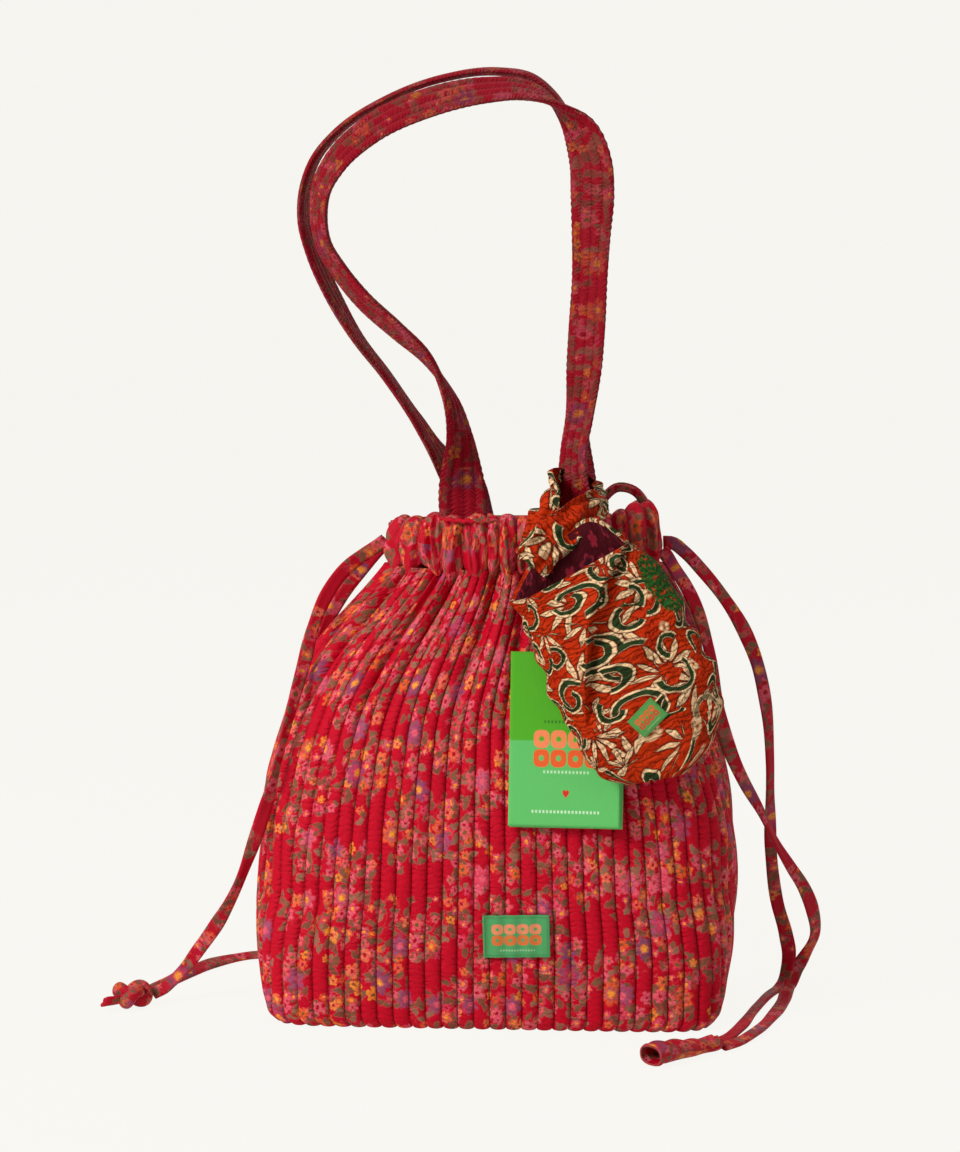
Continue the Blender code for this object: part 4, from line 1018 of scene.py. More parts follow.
BACK_ARCH = np.array([
    (-0.0250, 0.000, 0.045, 28), (-0.0352, 0.003, 0.095, 68), (-0.0510, 0.008, 0.194, 88),
    (-0.0698, 0.013, 0.305, 90), (-0.0856, 0.017, 0.388, 88), (-0.1000, 0.020, 0.487, 82),
    (-0.1118, 0.022, 0.593, 82), (-0.1170, 0.023, 0.664, 86), (-0.1166, 0.025, 0.735, 89),
    (-0.1103, 0.026, 0.808, 91), (-0.0960, 0.026, 0.875, 92), (-0.0688, 0.026, 0.945, 93),
    (-0.0342, 0.026, 0.996, 93), (-0.0010, 0.025, 1.012, 93), (0.0182, 0.024, 0.999, 93),
    (0.0320, 0.023, 0.955, 92), (0.0426, 0.022, 0.885, 90), (0.0500, 0.021, 0.796, 88),
    (0.0548, 0.020, 0.715, 87), (0.0567, 0.019, 0.599, 86), (0.0550, 0.018, 0.482, 84),
    (0.0515, 0.016, 0.341, 82), (0.0480, 0.011, 0.198, 74), (0.0468, 0.004, 0.085, 44)])


def strap_foot(front, right):
    """Where a strap's end stands on the casing, and how the casing slopes there."""
    fractions = np.linspace(0.0, 0.25, 1001)
    if not front:
        fractions = 0.5 - fractions
    point, normal = mouth_line(fractions)
    index = int(np.argmin(np.abs(point[:, 0] - MOUTH_SHIFT - FOOT_REACH)))
    offset = point[index, 0] - MOUTH_SHIFT
    slope = math.atan2(normal[index, 0], abs(normal[index, 1]))
    return MOUTH_SHIFT + (offset if right else -offset), point[index, 1], slope


def strap_route(front, stations):
    """A strap's line from foot to foot and its turns in radians: sideways, away and up along the arch."""
    left_x, foot_y, slope = strap_foot(front, False)
    right_x, _, _ = strap_foot(front, True)
    foot_z = CASING_FOOT + CASING_HEIGHT + 0.0003
    away = stations[:, 1] if front else -stations[:, 1]
    route = np.column_stack([stations[:, 0], foot_y + away, foot_z + stations[:, 2] * STRAP_RISE])
    sunk = foot_z - (0.006 if front else 0.014)
    route = np.vstack([[left_x - 0.0015, foot_y, sunk], route, [right_x - 0.0024, foot_y, sunk]])
    turn = -slope if front else slope
    return route, np.concatenate([[turn], np.radians(stations[:, 3]), [turn]])


def strap(name, node, front, stations, seed, finish):
    """A quilted strap along its arch: a flat section with rounded channels, turned about its course."""
    route, turns = strap_route(front, stations)
    chord = run_of(route)
    places = np.linspace(0.0, chord[-1], STRAP_STEPS)
    centre = through_points(places, chord, route)
    angle = through_points(places, chord, turns)[:, None]
    ahead = unit(np.gradient(centre, axis=0))
    ahead[0] = (0, 0, 1)
    ahead[-1] = (0, 0, -1)
    level = unit(np.stack([ahead[:, 2], np.zeros(len(ahead)), -ahead[:, 0]], axis=1))
    depth = np.cross(ahead, level)
    depth = depth * np.sign(depth[:, 1:2])
    width = level * np.cos(angle) + depth * np.sin(angle)

    around = full_turn(72)
    across = rounded(np.cos(around), 0.72)
    ridge = np.abs(np.sin(math.pi * STRAP_CHANNELS * (across + 1) / 2)) ** 0.7
    edge = np.clip(1.0 - np.abs(across) ** 9, 0.0, 1.0) ** 0.5
    through = np.sign(np.sin(around)) * (0.0009 + 0.0015 * ridge) * edge
    narrow = 0.07 * smooth_step(ripple(places / chord[-1], (3, 5, 9), seed) * 0.5 + 0.5)
    half = STRAP_HALF_WIDTH * (1.0 - narrow) + EDGE_RIPPLE * np.sin(places * 2 * math.pi / EDGE_RIPPLE_PITCH)
    points = closed_ends(carried(centre, width, np.cross(width, ahead), half[:, None] * across, through))

    run = np.pad(places, 1, mode="edge")[:, None]
    wrap = np.append(around, 2 * math.pi) / (2 * math.pi) * 0.066
    number = np.append(STRAP_CHANNELS * (across + 1) / 2, STRAP_CHANNELS)
    number = number + np.where(np.sin(np.append(around, 0.0)) >= 0, 0, 10)
    maps = {"cloth": map_of(wrap[None, :] + seed * 0.013, run), "stitch": map_of(number[None, :], run)}
    piece = lattice(name, points, finish, maps)
    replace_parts(piece, node)


def foot_seam(name, finish, left, right):
    """Rolled seam where a handle's foot is sewn over the casing: a thin tube that dips at its middle."""
    share = np.linspace(0.0, 1.0, 40)
    line = np.array(left) + share[:, None] * (np.array(right) - np.array(left))
    line[:, 1] -= 0.0016 * np.sin(math.pi * share)
    line[:, 2] -= 0.0008 * np.sin(math.pi * share) - 0.0003 * np.sin(40 * share)
    turn = full_turn(14)
    thick = 0.0014 * np.minimum(1.0, 0.35 + 6.0 * np.minimum(share, 1.0 - share))[:, None]
    depth, up = np.broadcast_to(np.eye(3)[1:, None, :], (2, len(share), 3))
    points = closed_ends(carried(line, depth, up, thick * np.cos(turn), thick * np.sin(turn)))
    run = 0.3 + 0.035 * np.pad(share, 1, mode="edge")
    maps = {"cloth": map_of(run[:, None], np.linspace(0.0, 0.009, len(turn) + 1)[None, :])}
    lattice(name, points, finish, maps)


# Drawstrings

TAIL_WIDTH = 0.0084
TAIL_THICKNESS = 0.0029
HANGING_FACE = (0.05, -1.0, 0.1)
LYING_FACE = (0.0, -0.35, 1.0)
KNOT_CENTRE = np.array((-0.2185, -0.0362, 0.0084))
END_TUBE_START = np.array((0.1325, -0.1084, 0.0053))
END_TUBE_HEADING = np.array((-0.68, -0.733, 0.0))
END_TUBE_LENGTH = 0.054
FLOOR_GAP = 0.0006
LEFT_TAIL_FRONT = [(-0.0672, -0.0052, 0.2815), (-0.0708, -0.0058, 0.2790), (-0.0795, -0.0090, 0.2735),
                   (-0.0900, -0.0150, 0.2655), (-0.1000, -0.0240, 0.2520), (-0.1075, -0.0350, 0.2330),
                   (-0.1125, -0.0440, 0.2110), (-0.1175, -0.0510, 0.1910), (-0.1245, -0.0560, 0.1640),
                   (-0.1310, -0.0580, 0.1380), (-0.1412, -0.0540, 0.1070), (-0.1530, -0.0440, 0.0775),
                   (-0.1655, -0.0330, 0.0545), (-0.1797, -0.0240, 0.0338), (-0.1912, -0.0205, 0.0185),
                   (-0.2000, -0.0220, 0.0105), (-0.2079, -0.0268, 0.0083)]
LEFT_TAIL_BACK = [(-0.0672, 0.0052, 0.2800), (-0.0698, 0.0056, 0.2775), (-0.0768, 0.0085, 0.2702),
                  (-0.0872, 0.0150, 0.2575), (-0.1018, 0.0270, 0.2365), (-0.1168, 0.0420, 0.2020),
                  (-0.1260, 0.0560, 0.1600), (-0.1315, 0.0680, 0.1150), (-0.1350, 0.0780, 0.0720),
                  (-0.1385, 0.0870, 0.0380), (-0.1440, 0.0930, 0.0150), (-0.1525, 0.0960, 0.0058),
                  (-0.1635, 0.0930, 0.0046), (-0.1755, 0.0825, 0.0046), (-0.1855, 0.0680, 0.0046),
                  (-0.1965, 0.0420, 0.0046), (-0.2060, 0.0150, 0.0046), (-0.2130, -0.0040, 0.0048),
                  (-0.2175, -0.0150, 0.0058), (-0.2194, -0.0223, 0.0068)]
RIGHT_TAIL_BACK = [(0.0987, 0.0052, 0.2802), (0.1040, 0.0058, 0.2800), (0.1115, 0.0070, 0.2745),
                   (0.1218, 0.0090, 0.2635), (0.1350, 0.0110, 0.2470), (0.1458, 0.0120, 0.2300),
                   (0.1545, 0.0130, 0.2100), (0.1615, 0.0140, 0.1790), (0.1640, 0.0180, 0.1470),
                   (0.1645, 0.0230, 0.1180), (0.1655, 0.0280, 0.0870), (0.1695, 0.0340, 0.0560),
                   (0.1755, 0.0410, 0.0330), (0.1775, 0.0450, 0.0190), (0.1755, 0.0420, 0.0090),
                   (0.1720, 0.0340, 0.0052), (0.1665, 0.0190, 0.0046), (0.1585, -0.0110, 0.0046),
                   (0.1525, -0.0380, 0.0046), (0.1455, -0.0690, 0.0046), (0.1375, -0.0920, 0.0046),
                   (0.1296, -0.1046, 0.0048)]
RIGHT_TAIL_FRONT = [(0.0980, -0.0052, 0.2768), (0.1002, -0.0060, 0.2745), (0.1050, -0.0080, 0.2672),
                    (0.1117, -0.0100, 0.2575), (0.1190, -0.0110, 0.2430), (0.1270, -0.0120, 0.2165),
                    (0.1326, -0.0120, 0.1815), (0.1390, -0.0100, 0.1588), (0.1478, -0.0040, 0.1380),
                    (0.1586, 0.0000, 0.1185), (0.1680, 0.0050, 0.0985), (0.1768, 0.0110, 0.0830),
                    (0.1850, 0.0180, 0.0690), (0.1912, 0.0270, 0.0520), (0.1930, 0.0370, 0.0345),
                    (0.1872, 0.0450, 0.0200), (0.1822, 0.0460, 0.0105), (0.1788, 0.0400, 0.0058),
                    (0.1765, 0.0270, 0.0046), (0.1732, -0.0010, 0.0046), (0.1668, -0.0345, 0.0046),
                    (0.1545, -0.0765, 0.0046), (0.1425, -0.1020, 0.0046), (0.1358, -0.1105, 0.0048)]

# Piece, solid, route, steps, twists in degrees at shares of the length, seed and far end of each tail
TAILS = (
    ("left_tail_in_front", "drawstring_left_tail_front", LEFT_TAIL_FRONT, 170,
     [(0.0, 10), (0.12, 15), (0.3, 30), (0.45, 65), (0.6, 15), (0.7, 55), (0.85, -15), (1.0, 20)], 1, "knot"),
    ("left_tail_behind", "drawstring_left_tail_back", LEFT_TAIL_BACK, 200,
     [(0.0, 0), (0.3, 20), (0.6, -20), (0.75, 10), (0.9, 30), (1.0, 0)], 2, "knot"),
    ("right_tail_behind", "drawstring_right_tail_back", RIGHT_TAIL_BACK, 200,
     [(0.0, 10), (0.10, 25), (0.22, 10), (0.35, 55), (0.48, 25), (0.6, 0), (0.8, -20), (1.0, 0)],
     3, "fitting"),
    ("right_tail_in_front", "drawstring_right_tail_front", RIGHT_TAIL_FRONT, 200,
     [(0.0, 10), (0.15, 35), (0.28, 10), (0.4, 65), (0.5, 20), (0.62, 45), (0.75, 0), (1.0, 0)],
     4, "fitting"),
)


def ribbon_points(centre, width, thickness, facing, twist, share, seed):
    """A flat cloth tube: an oval section with a folded edge, turned by a twist about its line of travel."""
    ahead = unit(np.gradient(centre, axis=0))
    normal = square_to(facing, ahead)
    aside = np.cross(ahead, normal)
    cosine, sine = np.cos(twist)[:, None], np.sin(twist)[:, None]
    around = full_turn(20)
    across = rounded(np.cos(around), 0.8)
    through = rounded(np.sin(around), 0.7) * (1.0 - 0.25 * np.abs(across) ** 4)
    through = through * (1.0 - 0.35 * bell(across, 0.0, 0.35)) * thickness / 2
    squeeze = 1.0 + 0.10 * ripple(share, (4, 7, 11), seed)
    broad = aside * cosine + normal * sine
    thin = normal * cosine - aside * sine
    return carried(centre, broad, thin, squeeze[:, None] * across * width / 2, through)


def cord_piece(name, points, places, girth, start, finish):
    """A piece from the closed rings of a cord, with its map in metres round it and along it."""
    wrap = start + np.linspace(0.0, girth, points.shape[1] + 1)
    run = np.pad(places, 1, mode="edge")
    return lattice(name, points, finish, {"cloth": map_of(wrap[None, :], run[:, None])})


def tail(name, node, route, count, twists, seed, finish):
    """One free tail of a drawstring: flat to the viewer where it hangs, flat on the floor where it lies."""
    centre, places = even_route(route, count)
    share = places / places[-1]
    lying = smooth_step((0.030 - centre[:, 2]) / 0.024)
    centre[:, 2] -= 0.0026 * smooth_step((0.012 - centre[:, 2]) / 0.006)
    facing = unit(np.outer(1.0 - lying, HANGING_FACE) + np.outer(lying, LYING_FACE))
    keys, values = np.array(twists).T
    twist = np.radians(through_points(share, keys, values))
    points = ribbon_points(centre, TAIL_WIDTH, TAIL_THICKNESS, facing, twist, share, seed)
    lift = np.clip(0.0004 - points[:, :, 2], 0.0, None).max(axis=1)
    points[:, :, 2] += lift[:, None]
    centre[:, 2] += lift
    piece = cord_piece(name, closed_ends(points), places, 0.021, 0.031 * seed, finish)
    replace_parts(piece, node)


STANDING_LOOP = [(0.112, 1.000, 0.010), (0.135, 0.676, 0.190), (0.206, 0.568, 0.571),
                 (0.412, 0.568, 0.929), (0.706, 0.541, 1.000), (0.912, 0.405, 0.762)]


def casing_run(front, from_left, height, sag=0.0):
    """The course of a held cord along one half of the casing, with its sag at the middle."""
    slit = slit_share()
    start, stop = (-slit, slit) if front else (0.5 + slit, 0.5 - slit)
    point, _ = mouth_line(np.linspace(start, stop, 13))
    drop = sag * np.sin(np.linspace(0.0, math.pi, len(point)))
    run = [(x, y, height - low) for (x, y), low in zip(point, drop)]
    return run if from_left else run[::-1]


def held_cord(name, node, route, seed, finish):
    """The held part of a drawstring: a narrow tube, upright on its edge in the casing."""
    centre, places = even_route(route, 200)
    facing = np.cross(unit(np.gradient(centre, axis=0)), (0.0, 0.0, 1.0))
    upright = np.linalg.norm(facing, axis=1, keepdims=True) < 0.15
    facing = unit(np.where(upright, (0.0, -1.0, 0.0), facing))
    flat = np.zeros(len(centre))
    points = ribbon_points(centre, 0.0052, 0.0030, facing, flat, places / places[-1], seed)
    piece = cord_piece(name, closed_ends(points), places, 0.014, 0.05 * seed, finish)
    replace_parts(piece, node)


def held_cords(finish):
    """Both held cords: each enters at one slit, runs round the mouth and comes out at the same slit."""
    upper = CASING_FOOT + 0.66 * CASING_HEIGHT
    lower = CASING_FOOT + 0.36 * CASING_HEIGHT
    sag = lower - (CASING_FOOT + 0.0075)
    left, right = MOUTH_SHIFT - 0.079, MOUTH_SHIFT + 0.079
    reach, lead, side = 0.0020, 0.0052, 0.0066
    rise = [(right - 0.034 * x, 0.0074 * y, upper + 0.0235 * z) for x, y, z in STANDING_LOOP]
    route = [(left - reach, -lead, upper), (left + 0.4 * reach, -side, upper)] + casing_run(True, True, upper)
    route += [(x, -y, z) for x, y, z in rise] + [(right - 0.034, 0.0, upper + 0.0126)] + rise[::-1]
    route += casing_run(False, False, upper)
    route += [(left + 0.4 * reach, side, upper), (left - reach, lead, upper)]
    held_cord("left_cord_in_casing", "drawstring_left_ring", route, 2, finish)
    route = [(right + reach, -lead, lower), (right - 0.4 * reach, -side, lower)]
    route += casing_run(True, False, lower, sag)
    route += [(left + 0.5 * reach, -lead, lower), (left + 0.1 * reach, 0.0, lower),
              (left + 0.5 * reach, lead, lower)]
    route += casing_run(False, True, lower, sag)
    route += [(right - 0.4 * reach, side, lower), (right + reach, lead, lower)]
    held_cord("right_cord_in_casing", "drawstring_right_ring", route, 3, finish)


def tail_knot(finish):
    """Knot of the left tails: a three-lobed knot line with a round section, flattened on the floor."""
    share = full_turn(180)
    line = np.stack([np.sin(share) + 2.0 * np.sin(2 * share), np.cos(share) - 2.0 * np.cos(2 * share),
                     -1.25 * np.sin(3 * share)], axis=1)
    line = line * np.array((0.0033, 0.0030, 0.0027)) + KNOT_CENTRE
    ahead = unit(np.roll(line, -1, axis=0) - np.roll(line, 1, axis=0))
    normal = square_to(unit(line - KNOT_CENTRE), ahead)
    around = full_turn(16)
    swell = (1.0 + 0.12 * np.sin(5 * share))[:, None]
    points = carried(line, np.cross(ahead, normal), normal, 0.0042 * np.cos(around) * swell,
                     0.0032 * np.sin(around) * swell)
    points[:, :, 2] = np.maximum(points[:, :, 2], FLOOR_GAP)
    run = np.linspace(0.0, 0.16, len(line) + 1)
    wrap = np.linspace(0.0, 0.023, len(around) + 1)
    maps = {"cloth": map_of(wrap[None, :], run[:, None])}
    piece = lattice("left_tail_knot", points, finish, maps, wrap_rows=True)
    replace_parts(piece, "drawstring_left_knot")
    return piece


def knot_loop(finish):
    """The cord's end that stands out of the knot as a small open loop."""
    route = [(-0.2230, -0.0420, 0.0070), (-0.2275, -0.0475, 0.0075), (-0.2322, -0.0500, 0.0070),
             (-0.2340, -0.0470, 0.0052), (-0.2310, -0.0425, 0.0045), (-0.2255, -0.0395, 0.0050)]
    centre, places = even_route(route, 48)
    facing = unit(np.tile((0.3, -0.4, 1.0), (len(centre), 1)))
    twist = np.full(len(centre), 1.2)
    points = closed_ends(ribbon_points(centre, 0.0052, 0.0028, facing, twist, places / places[-1], 9))
    points[:, :, 2] = np.maximum(points[:, :, 2], FLOOR_GAP)
    cord_piece("left_knot_loop", points, places, 0.016, 0.4, finish)


def end_tube(finish):
    """The cloth tab over both right ends: a flat open tube with a pinched, sewn start and a rolled hem."""
    heading = unit(END_TUBE_HEADING)
    aside = np.array((-heading[1], heading[0], 0.0))
    along = np.linspace(0.0, END_TUBE_LENGTH, 68)
    around = full_turn(40)
    gathered = smooth_step(along / 0.007)
    half_width = 0.0060 + 0.0026 * gathered + 0.0005 * np.sin(along * 300)
    half_height = 0.0034 + 0.0026 * smooth_step((along - 0.004) / 0.044) + 0.0003 * np.sin(along * 420 + 1)
    hem = 0.0006 * bell(along, 0.0525, 0.0012) - 0.0005 * bell(along, 0.0495, 0.0010)
    pleat = 0.0006 * (1.0 - gathered)[:, None] * np.cos(9 * around)
    line = END_TUBE_START + heading * along[:, None]
    line[:, 2] = FLOOR_GAP + half_height + 0.0004
    broad, up = (np.tile(way, (len(along), 1)) for way in (aside, (0.0, 0.0, 1.0)))

    def shell(inset):
        width = (half_width + hem)[:, None] + pleat - inset
        height = (half_height + hem)[:, None] + pleat - inset
        across = width * rounded(np.cos(around), 0.9)
        return carried(line, broad, up, across, height * rounded(np.sin(around), 0.8))

    points = closed_ends(np.concatenate([shell(0.0), shell(0.0013)[::-1][:-6]]))
    run = 0.2 + np.concatenate([[0.0], along, along[::-1][:-6] + 0.06, [0.12]])
    wrap = 0.9 + np.linspace(0.0, 0.045, len(around) + 1)
    maps = {"cloth": map_of(wrap[None, :], run[:, None])}
    piece = lattice("right_end_tab", points, finish, maps)
    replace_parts(piece, "drawstring_right_end_tube")
    return piece


# Labels and tag

LABEL_WIDTH, LABEL_HEIGHT = 0.039, 0.025
LABEL_X, LABEL_Z = 0.016, 0.058
LABEL_TILT = math.radians(1.5)
LABEL_WALL = 0.0009
RIB_PITCH = 0.0094
TAG_WIDTH, TAG_HEIGHT = 0.065, 0.100
TAG_X, TAG_Z = 0.044, 0.174
TAG_TILT = math.radians(-0.5)
CARD, CARD_GAP = 0.0006, 0.0008
CARD_FOLD = 0.0009
LEAF_STEPS = 40
REST_GAP = 0.0003


def resting_plane(centre_x, centre_z, width, height):
    """How far forward the body's front comes behind a flat piece, and how it slopes there."""
    heights = np.linspace(centre_z - height / 2, centre_z + height / 2, 11)
    across = np.linspace(centre_x - width / 2, centre_x + width / 2, 61)
    fractions = np.linspace(-0.25, 0.25, 1601)
    rings = [body_row(level, 0.0, fractions, True) for level in heights]
    depth = np.array([np.interp(across, ring[:, 0], ring[:, 1]).min() for ring in rings])
    slope = (depth[-1] - depth[0]) / height
    return (depth - slope * (heights - centre_z)).min(), slope


def slab(name, points, thickness, finish, place):
    """A thin piece from one grid of points: its face, its back and their edges as one closed surface."""
    border = ((1, 1), (1, 1), (0, 0))
    back = points + np.array((0.0, thickness, 0.0))
    rear = np.pad(back, border, mode="edge")
    front = rear.copy()
    front[1:-1, 1:-1] = points
    place = np.pad(place, border, mode="edge")
    whole = np.concatenate([front, rear[:, ::-1]], axis=1)
    maps = {"cloth": np.concatenate([place, place[:, ::-1], place[:, :1]], axis=1)}
    return lattice(name, whole, finish, maps)


def woven_label(finish):
    """The label sewn on the front: it sags a little between the ribs, with folded ends."""
    depth, slope = resting_plane(LABEL_X, LABEL_Z, LABEL_WIDTH, LABEL_HEIGHT)
    across = np.linspace(-0.5, 0.5, 60)[None, :]
    up = np.linspace(-0.5, 0.5, 40)[:, None]
    x = LABEL_X + LABEL_WIDTH * across * math.cos(LABEL_TILT) - LABEL_HEIGHT * up * math.sin(LABEL_TILT)
    z = LABEL_Z + LABEL_HEIGHT * up * math.cos(LABEL_TILT) + LABEL_WIDTH * across * math.sin(LABEL_TILT)
    sag = 0.00035 * np.cos(2 * math.pi * (x / RIB_PITCH)) + 0.0002 * np.sin(90 * z + 60 * x)
    puff = 0.0004 * np.clip(1.0 - ((0.5 - np.abs(across)) / 0.06) ** 2, 0, 1)
    y = depth + slope * (z - LABEL_Z) - REST_GAP - 0.0008 + sag - puff
    place = map_of(across + 0.5, up + 0.5)
    piece = slab("front_woven_label", np.stack([x, y, z], axis=2), LABEL_WALL, finish, place)
    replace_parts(piece, "woven_label")


def tag(finish):
    """Folded card tag: two leaves from one strip of card, joined by a round fold at the left.

    The front leaf lifts towards its free edge with the square of the distance, and both bow a little.
    """
    depth, slope = resting_plane(TAG_X, TAG_Z, TAG_WIDTH, TAG_HEIGHT)
    up = np.linspace(-0.5, 0.5, 60)[:, None]
    turn = np.linspace(0.0, math.pi, 9)[1:-1]
    folds = np.zeros(len(turn))
    fold_x = CARD_FOLD - TAG_WIDTH / 2
    leaf_y = CARD + CARD_GAP
    strip_x = np.concatenate([np.linspace(TAG_WIDTH / 2 + 0.0015, fold_x, LEAF_STEPS),
                              fold_x - CARD_FOLD * np.sin(turn),
                              np.linspace(fold_x, TAG_WIDTH / 2, LEAF_STEPS)])
    strip_y = np.concatenate([np.zeros(LEAF_STEPS), -leaf_y * (1 - np.cos(turn)) / 2,
                              np.full(LEAF_STEPS, -leaf_y)])
    lift = np.concatenate([np.zeros(LEAF_STEPS), folds, -0.0014 * np.linspace(0, 1, LEAF_STEPS) ** 2])
    drop = np.concatenate([np.full(LEAF_STEPS, 0.00096), folds, np.zeros(LEAF_STEPS)])
    x = strip_x * math.cos(TAG_TILT) - TAG_HEIGHT * up * math.sin(TAG_TILT)
    z = TAG_HEIGHT * up + strip_x * math.sin(TAG_TILT) - drop
    y = depth + slope * z - REST_GAP - CARD + strip_y + lift + 0.0010 * np.cos(math.pi * up) - 0.001
    share = np.concatenate([np.linspace(0, 1, LEAF_STEPS), folds, np.linspace(0, 1, LEAF_STEPS)])
    points = np.stack([TAG_X + x, y, TAG_Z + z], axis=2)
    place = map_of(share[None, :], up + 0.5)
    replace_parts(slab("green_card_tag", points, 0.0005, finish, place), "hang_tag")


# Small pouch hung on the handle

POUCH_STEPS = [0.0, 0.15, 0.35, 0.55, 0.75, 0.90, 0.97, 1.0]
POUCH_LEFT = np.array([(0.0152, 0.2536), (0.0200, 0.2410), (0.0285, 0.2190), (0.0390, 0.1960),
                       (0.0510, 0.1745), (0.0615, 0.1600), (0.0690, 0.1535), (0.0800, 0.1512)])
POUCH_RIGHT = np.array([(0.0805, 0.2900), (0.0950, 0.2800), (0.1100, 0.2570), (0.1215, 0.2340),
                        (0.1325, 0.2110), (0.1330, 0.1880), (0.1240, 0.1690), (0.1130, 0.1580)])
POUCH_FOLD = np.array([(0.2060, 0.0575), (0.2298, 0.0589), (0.2471, 0.0599), (0.2673, 0.0673),
                       (0.2903, 0.0802)])
POUCH_THICK_AT = [0.0, 0.2, 0.6, 0.9, 1.0]
POUCH_THICK = [0.0100, 0.0136, 0.0155, 0.0105, 0.0036]
BACK_RISE_AT = [0.0, 0.05, 0.2, 0.45, 0.68, 0.85, 0.95, 1.0]
BACK_RISE = np.array([0, 13, 19, 24, 25, 15, 6, 0]) / 1000
MOUTH_RISE = np.array((-0.05, 0.0, 1.0))
POUCH_FRONT, POUCH_LEAN = -0.0762, -0.0174
POUCH_HEIGHT = 0.133
POUCH_GIRTH = 0.23


def pouch_creases(x, z, down, share):
    """How far the pouch's front stands out at each point.

    A pleat falls from the right of the mouth: the cloth swells towards it from the left and drops behind
    it. Slow waves make it slump, and rows of quilting puff it lengthwise.
    """
    aside = x - np.interp(z, POUCH_FOLD[:, 0], POUCH_FOLD[:, 1])
    swell = 0.0060 * np.exp(np.minimum(aside, 0.0) / 0.010)
    drop = -0.0058 * np.exp(-np.maximum(aside, 0.0) / 0.013)
    pleat = swell + (drop - swell) * smooth_step((aside + 0.0012) / 0.0024)
    lower = 0.0026 * bell(x + 0.3 * (z - 0.19), 0.112, 0.010) * smooth_step((0.235 - z) / 0.03)
    slump = 0.0021 * np.sin(95.0 * x + 60.0 * z + 0.6) + 0.0017 * np.sin(150.0 * z - 120.0 * x + 2.0)
    slump = slump + 0.0009 * np.sin(310.0 * x + 140.0 * z) * np.sin(230.0 * z - 70.0 * x)
    rows = np.abs(np.sin(math.pi * (down * 24.0 + 0.30 * np.sin(9.0 * share + 14.0 * down) + 0.5 * share)))
    slump = slump * np.sin(math.pi * np.clip(down + 0.12, 0, 1))
    return pleat * smooth_step((z - 0.172) / 0.045) + lower + slump + 0.0011 * (rows ** 0.6 - 0.7)


def pouch_surface(along, around, inset):
    """Points of the small pouch between its left and right edges.

    Across, an oval runs from edge to edge, flatter at the back. The back wall stands above the front lip,
    so that the mouth is open to the front.
    """
    left = through_points(along, POUCH_STEPS, POUCH_LEFT)
    right = through_points(along, POUCH_STEPS, POUCH_RIGHT)
    middle = (left + right) / 2
    half = (right - left) / 2
    span = np.linalg.norm(half, axis=1)[:, None]
    place = rounded(np.cos(around), 0.8)[None, :]
    lift = rounded(np.sin(around), 0.9)[None, :]
    down = along[:, None]
    wobble = 0.022 * np.sin(19.0 * down + 2.0 * place) + 0.018 * np.sin(41.0 * down + 5.0 * place)
    share = place * (1.0 - inset / span) * (1.0 + wobble * np.sin(math.pi * down))
    x = middle[:, :1] + half[:, :1] * share
    z = middle[:, 1:] + half[:, 1:] * share
    thick = through_points(along, POUCH_THICK_AT, POUCH_THICK)[:, None]
    out = (thick - inset) * np.where(lift > 0, lift, 0.70 * lift)
    out = out + np.clip(lift, 0.0, 1.0) ** 0.6 * pouch_creases(x, z, down, share)
    rise = through_points((place[0] + 1.0) / 2, BACK_RISE_AT, BACK_RISE)[None, :]
    rise = rise * np.clip(-lift, 0.0, 1.0) ** 0.5 * np.clip(1.0 - down / 0.22, 0.0, 1.0) ** 2
    ear = 0.004 * bell(place, -1.0, 0.10) * np.clip(1.0 - down / 0.10, 0.0, 1.0)
    nick = 0.0009 * np.sin(37.0 * down + 1.5 * np.sign(place)) * np.abs(place) ** 6 * np.sin(math.pi * down)
    level = POUCH_FRONT + POUCH_LEAN * down
    points = np.stack([x - ear + nick, level - out, z + 0.6 * nick], axis=2)
    return points + rise[:, :, None] * MOUTH_RISE


def small_pouch(cloth_finish, inside_finish):
    """Outside over the rim and down inside as one closed surface, and a lining that stands a little proud."""
    around = full_turn(240)
    outer = np.linspace(1.0, 0.0, 170)
    inner = np.linspace(0.0, 0.88, 34)
    levels = np.linspace(0.80, 0.006, 40)
    walls = (
        ("small_pouch_shell", "charm_body", "charm_print", cloth_finish, outer, 0.0, inner, 0.0022, 1.05),
        ("small_pouch_lining", "charm_lining", "charm_lining", inside_finish, levels, 0.0028, levels[::-1],
         0.0036, 0.9),
    )
    wrap = np.linspace(0.0, POUCH_GIRTH, len(around) + 1)
    for name, node, slot, finish, first, first_inset, second, second_inset, start in walls:
        points = np.concatenate([pouch_surface(first, around, first_inset),
                                 pouch_surface(second, around, second_inset)])
        run = np.concatenate([[start], first, -second, [-0.9]]) * POUCH_HEIGHT
        maps = {"cloth": map_of(wrap[None, :], run[:, None])}
        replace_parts(lattice(name, closed_ends(points), finish, maps), node)


def bowl_terms(along, aside):
    """Terms of a curved patch: a constant, both directions, their squares and their product."""
    return np.stack([np.ones_like(along), along, aside, along ** 2, aside ** 2, along * aside], axis=-1)


